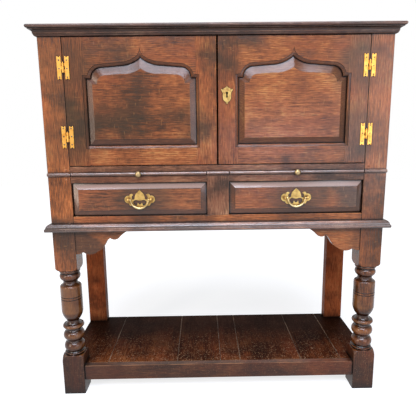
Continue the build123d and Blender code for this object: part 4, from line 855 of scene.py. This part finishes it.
# section of a line: two feet 3 mm down, two shoulders and a crown
across = np.array([-0.0004, -0.0009, 0.0, 0.0009, 0.0004])
foot = np.full(steps, 0.0030)
shoulder = 0.0002
ridges = []
for left, right in zip(sides[:-1], sides[1:]):
    middle = (left[1] + right[0]) / 2
    waves = np.interp(along, along[::6], chance.uniform(0.0003, 0.0019, 11))
    sink = waves + chance.uniform(-0.0001, 0.0001, steps)
    down = np.stack([foot, sink + shoulder, sink, sink + shoulder, foot], 1)
    ridges.append(tube(np.stack(np.broadcast_arrays(middle + across, along[:, None], high[2] - down), -1)))
mesh = joined("potboard_dust", ridges)
settle(mesh)
show(mesh, material, "carcass")
print("lines of dust:", len(ridges))

# %% [markdown]
# ## Bails
# A bail is a cast brass drop that swings from the two balls of its pull. It is thin at the ends and swells
# to the middle, where the thumb takes it. A bevelled curve would stay round, so the surface is an oval
# carried along a path: out of the ball, round a small elbow, and along the arc.

# %% Bail surface
# half the distance between the balls, the radius of the arc, and how far it goes past a half circle
pull_half = 0.038
bail_radius = 0.0296
bail_lead = math.radians(4)


def bail_path(count=121):
    """The path in the plane of the bail: pin, elbow and arc, blurred so that the elbow is round."""
    turn = np.linspace(math.pi - bail_lead, 2 * math.pi + bail_lead, 90)
    arc = bail_radius * np.stack([np.cos(turn), np.sin(turn)], 1)
    pin = np.stack([np.linspace(-pull_half + 0.0004, arc[0, 0] - 0.0002, 16), np.zeros(16)], 1)
    whole = np.concatenate([pin, arc, pin[::-1] * [-1, 1]])
    length = np.concatenate([[0], np.cumsum(np.linalg.norm(np.diff(whole, axis=0), axis=1))])
    even = np.linspace(0, length[-1], count)
    path = np.stack([np.interp(even, length, whole[:, k]) for k in (0, 1)], 1)
    kernel = np.array([1, 2, 3, 2, 1]) / 9
    soft = np.stack([np.convolve(np.pad(path[:, k], 2, mode="edge"), kernel, "valid") for k in (0, 1)], 1)
    return soft, even / length[-1]


def bail_surface(centre, sides=16):
    """Oval section along the path s from 0 to 1, with two half widths in millimetres.

    In the plane of the bail the half width is 1.5 + 1.7 sin(pi s) cubed, and across that plane it is
    1.5 + 0.5 sin(pi s) squared."""
    path, share = bail_path()
    along = np.gradient(path, axis=0)
    along /= np.linalg.norm(along, axis=1)[:, None]
    normal = np.stack([along[:, 1], -along[:, 0]], 1)
    wide = (1.5 + 1.7 * np.sin(np.pi * share) ** 3) / 1000
    deep = (1.5 + 0.5 * np.sin(np.pi * share) ** 2) / 1000
    turn = np.linspace(0, 2 * np.pi, sides, endpoint=False)
    flat = path[:, None, :] + (wide[:, None] * np.cos(turn))[:, :, None] * normal[:, None, :]
    off = deep[:, None] * np.sin(turn)
    grid = np.stack([centre[0] + flat[..., 0], centre[1] + off, centre[2] + flat[..., 1]], -1)
    spots, quads, caps = tube(grid)
    # this section runs the other way round, so its faces are turned outwards
    return spots, quads[:, ::-1], [cap[::-1] for cap in caps]


for hand in ("left", "right"):
    spots, quads, caps = bail_surface(joint_place[f"{hand}_bail_pivot"])
    mesh = build(f"{hand}_bail_cast", spots, quads, caps)
    settle(mesh)
    show(mesh, turned_brass, f"{hand}_bail", [f"{hand}_pull_bail"])
    print(mesh.name, "box", np.round([spots.min(0), spots.max(0)], 4).tolist())

# %% [markdown]
# ## Piercing the pulls
# The plate of a pull is cast flat and opened with a piercing saw. Under the finial one wide opening is left,
# with a small crown of two leaves standing in it. A prism of that outline is cut out of each plate and then
# taken away, because a cut with a solid gives the opening clean walls of the plate's own thickness.

# %% Outline of the opening
# right half of the opening, from the middle of its top round to the middle of the crown, in distances
# between posts
opening_edge = np.array((
    (0.000, -0.058), (0.070, -0.045), (0.150, -0.022), (0.210, -0.030), (0.262, -0.058), (0.295, -0.095),
    (0.294, -0.135), (0.268, -0.195), (0.225, -0.245), (0.175, -0.276), (0.135, -0.272), (0.112, -0.215),
    (0.095, -0.135), (0.062, -0.190), (0.000, -0.238),
))


def opening_outline(count=150):
    """Both halves joined, spaced evenly and blurred over two steps, since a saw leaves no corner."""
    right = opening_edge * 2 * pull_half
    loop = np.concatenate([right, right[-2:0:-1] * (-1, 1), right[:1]])
    run = np.append(0, np.cumsum(np.linalg.norm(np.diff(loop, axis=0), axis=1)))
    even = np.linspace(0, run[-1], count, endpoint=False)
    outline = np.stack([np.interp(even, run, loop[:, axis]) for axis in (0, 1)], 1)
    return (np.roll(outline, 1, 0) + 2 * outline + np.roll(outline, -1, 0)) / 4


outline = opening_outline()
print("the opening is", np.round(1000 * np.ptp(outline, axis=0), 1).tolist(), "mm wide and high")

# %% Pierce the plates
# the saw goes in before the plate and comes out behind it
saw_ends = (-0.200, -0.192)
for hand in ("left", "right"):
    centre = joint_place[f"{hand}_bail_pivot"]
    across, up = centre[0] + outline[:, 0], centre[2] + outline[:, 1]
    prism = build("opening", *tube(np.stack([np.stack([across, 0 * up + y, up], 1) for y in saw_ends])))
    work = bmesh.new()
    work.from_mesh(prism)
    bmesh.ops.recalc_face_normals(work, faces=work.faces)
    work.to_mesh(prism)
    work.free()
    saw = placed("piercing_saw", prism)
    plate = pieces[f"{hand}_pull_backplate"]
    cut = plate.modifiers.new("pierced", "BOOLEAN")
    cut.object, cut.operation, cut.solver = saw, "DIFFERENCE", "EXACT"
    before = len(plate.data.polygons)
    plate.data = bpy.data.meshes.new_from_object(plate.evaluated_get(bpy.context.evaluated_depsgraph_get()))
    plate.modifiers.remove(cut)
    bpy.data.objects.remove(saw)
    print(plate.name, "faces", before, "to", len(plate.data.polygons))

# %% [markdown]
# ## Nails and pins
# The hinges are held by hand-made nails with low domed heads, three to a leaf, and the keyhole plate by
# small pins. They move with their plate, so its heads are one mesh and not an object each.

# %% Nails
# the front of the hinges' leaves, the middle of a leaf beside its pin, and the levels of its nails
leaf_front = -0.1970
leaf_aside = 0.0125
nail_steps = (-0.026, 0.0, 0.026)


def nail_heads(node, places, radius, rise):
    """Domed heads on the front of a brass node, at places across and up, that ride with the node's body."""
    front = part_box(node)[0].y if node == "escutcheon" else leaf_front
    head = {"out": (0, -1, 0), "radius": radius, "rise": rise, "sides": 12, "root": 0.0008}
    mesh = joined(node + "_nails", [dome(np.array([x, front, z]), **head) for x, z in places])
    settle(mesh)
    show(mesh, forged_iron, body_of[node])


pin_x = abs(joint_place["right_door_hinge"][0])
nail_levels = [level + step for level in hinge_levels for step in nail_steps]
for side, hand in ((-1, "left"), (1, "right")):
    places = [(side * (pin_x - leaf_aside), z) for z in nail_levels]
    nail_heads(f"{hand}_hinge_leaves", places, 0.0024, 0.0009)
places = [(side * (pin_x + leaf_aside), z) for side in (-1, 1) for z in nail_levels]
nail_heads("hinge_post_leaves", places, 0.0024, 0.0009)
low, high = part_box("escutcheon")
x, top = (low.x + high.x) / 2, high.z
pins = ((x, top - 0.0055), (x - 0.0130, top - 0.0115), (x + 0.0130, top - 0.0115), (x, low.z + 0.0033))
nail_heads("escutcheon", pins, 0.0012, 0.0005)
print("nails in each hinge leaf:", len(nail_steps))

# %% [markdown]
# ## Floor and backdrop
# The cupboard stands on a pale studio floor, with the world for a backdrop, since a wall would only serve one
# view. Both are white to the camera and in reflections, while the light that bounces up from the floor stays
# low, so that the wood keeps its dark undersides.

# %% Floor
floor_half = 6.0


def seen_rays(node):
    """1 for rays from the camera, off polish or through glass, and 0 for those that carry light."""
    seen = node("LightPath", out="Is Camera Ray")
    for other in ("Is Glossy Ray", "Is Transmission Ray"):
        seen = node("Math", {0: seen, 1: node("LightPath", out=other)}, operation="MAXIMUM")
    return seen


corners = floor_half * np.array([[-1, -1, 0], [1, -1, 0], [1, 1, 0], [-1, 1, 0]])
floor = placed("studio_floor", build("studio_floor", corners, np.array([[0, 1, 2, 3]])))
material, node = new_material("studio_floor")
speckle = node("TexNoise", {"Vector": node("TexCoord", out="Object"), "Scale": 60.0, "Detail": 2.0})
grey = node("ValToRGB", {"Fac": speckle}, stops=((0.4, "#5e5a55"), (0.6, "#66625d")))
plain_floor = node("BsdfDiffuse", {"Color": grey})
pale = node("BsdfDiffuse", {"Color": "#b4b4b4"})
far = node("VectorMath", {0: node("TexCoord", out="Object")}, out="Value", operation="LENGTH")
glow = node("MapRange", {"Value": far, "From Min": 0.8, "From Max": 2.2, "To Min": 0.76, "To Max": 1.0})
glow = node("Emission", {"Color": (1, 1, 1, 1), "Strength": glow})
white_floor = node("AddShader", {0: pale, 1: glow})
node("OutputMaterial", {"Surface": node("MixShader", {0: seen_rays(node), 1: plain_floor, 2: white_floor})})
floor.data.materials.append(material)
print("floor is", 2 * floor_half, "m square")

# %% World
sky_light = 0.14
world = bpy.data.worlds.new("studio")
bpy.context.scene.world = world
world.use_nodes = True
world.node_tree.nodes.clear()
node = functools.partial(add, world.node_tree)
white = node("Background", {"Color": (1, 1, 1, 1), "Strength": 1.0})
sky = node("Background", {"Color": "#e8eef8", "Strength": sky_light})
node("OutputWorld", {"Surface": node("MixShader", {0: seen_rays(node), 1: sky, 2: white})})
print("the backdrop is white, and its light on the wood is", sky_light)

# %% [markdown]
# ## Light
# A picture of a room could give all the light, but lamps are easier to aim. A wide one high in front lays a
# cool sheen on every face that is tilted up, a tall one beyond the right shoulder does so at the sides, and
# others fill the top and the left.

# %% Lamps


def facing(right, up, away):
    """Euler angles of the rotation whose columns are the right, up and backward directions."""
    return Matrix([[float(right[k]), float(up[k]), float(away[k])] for k in range(3)]).to_euler()


def lamp(name, place, target, size_x, size_y, power, colour):
    """Rectangular light at place that faces target."""
    data = bpy.data.lights.new(name, "AREA")
    data.shape = "RECTANGLE"
    data.size, data.size_y = size_x, size_y
    data.energy = power
    data.color = linear(colour)[:3]
    made = placed(name, data)
    made.location = place
    away = np.subtract(place, target)
    away = away / np.linalg.norm(away)
    right = np.cross([0, 0, 1], away)
    right /= np.linalg.norm(right)
    made.rotation_euler = facing(right, np.cross(away, right), away)


lamp("high_front", (-0.1, -2.75, 2.85), (0, 0, 0.85), 2.8, 1.05, 142, "#e6edff")
lamp("overhead", (0.0, -0.7, 3.2), (0, -0.1, 1.0), 3.0, 0.8, 56, "#e6eeff")
lamp("tall_right", (1.9, -2.6, 1.1), (0.2, -0.2, 0.9), 1.2, 1.7, 25, "#f1f2ff")
lamp("left_fill", (-2.4, -2.2, 1.2), (0, 0, 0.8), 0.7, 1.8, 40, "#fff1e0")
# a far window, too weak to light anything, which shows as a bluish veil in the polish of the right door
lamp("window", (0.65, -2.6, 0.82), (0.25, -0.2, 0.9), 0.9, 0.4, 5, "#9cd4ff")

# %% [markdown]
# ## Camera
# The camera looks down a little on the waist of the cupboard, from just left of its middle. A constraint
# could aim it, but its roll would be lost, so its three directions are worked out from three angles.

# %% Camera
yaw, pitch, roll = np.radians([0.69, 10.29, -0.66])
forward = np.array([math.sin(yaw) * math.cos(pitch), math.cos(yaw) * math.cos(pitch), -math.sin(pitch)])
level_right = np.array([math.cos(yaw), -math.sin(yaw), 0.0])
level_up = np.cross(level_right, forward)
right = math.cos(roll) * level_right + math.sin(roll) * level_up
up = -math.sin(roll) * level_right + math.cos(roll) * level_up
camera_data = bpy.data.cameras.new("camera")
camera_data.sensor_width = 36.0
camera_data.lens = 35.97
camera = placed("camera", camera_data)
camera.location = (-0.05095, -1.57883, 0.93572)
camera.rotation_euler = facing(right, up, -forward)
bpy.context.scene.camera = camera
bpy.context.scene.view_settings.view_transform = "Standard"
print("camera at", tuple(round(v, 3) for v in camera.location))
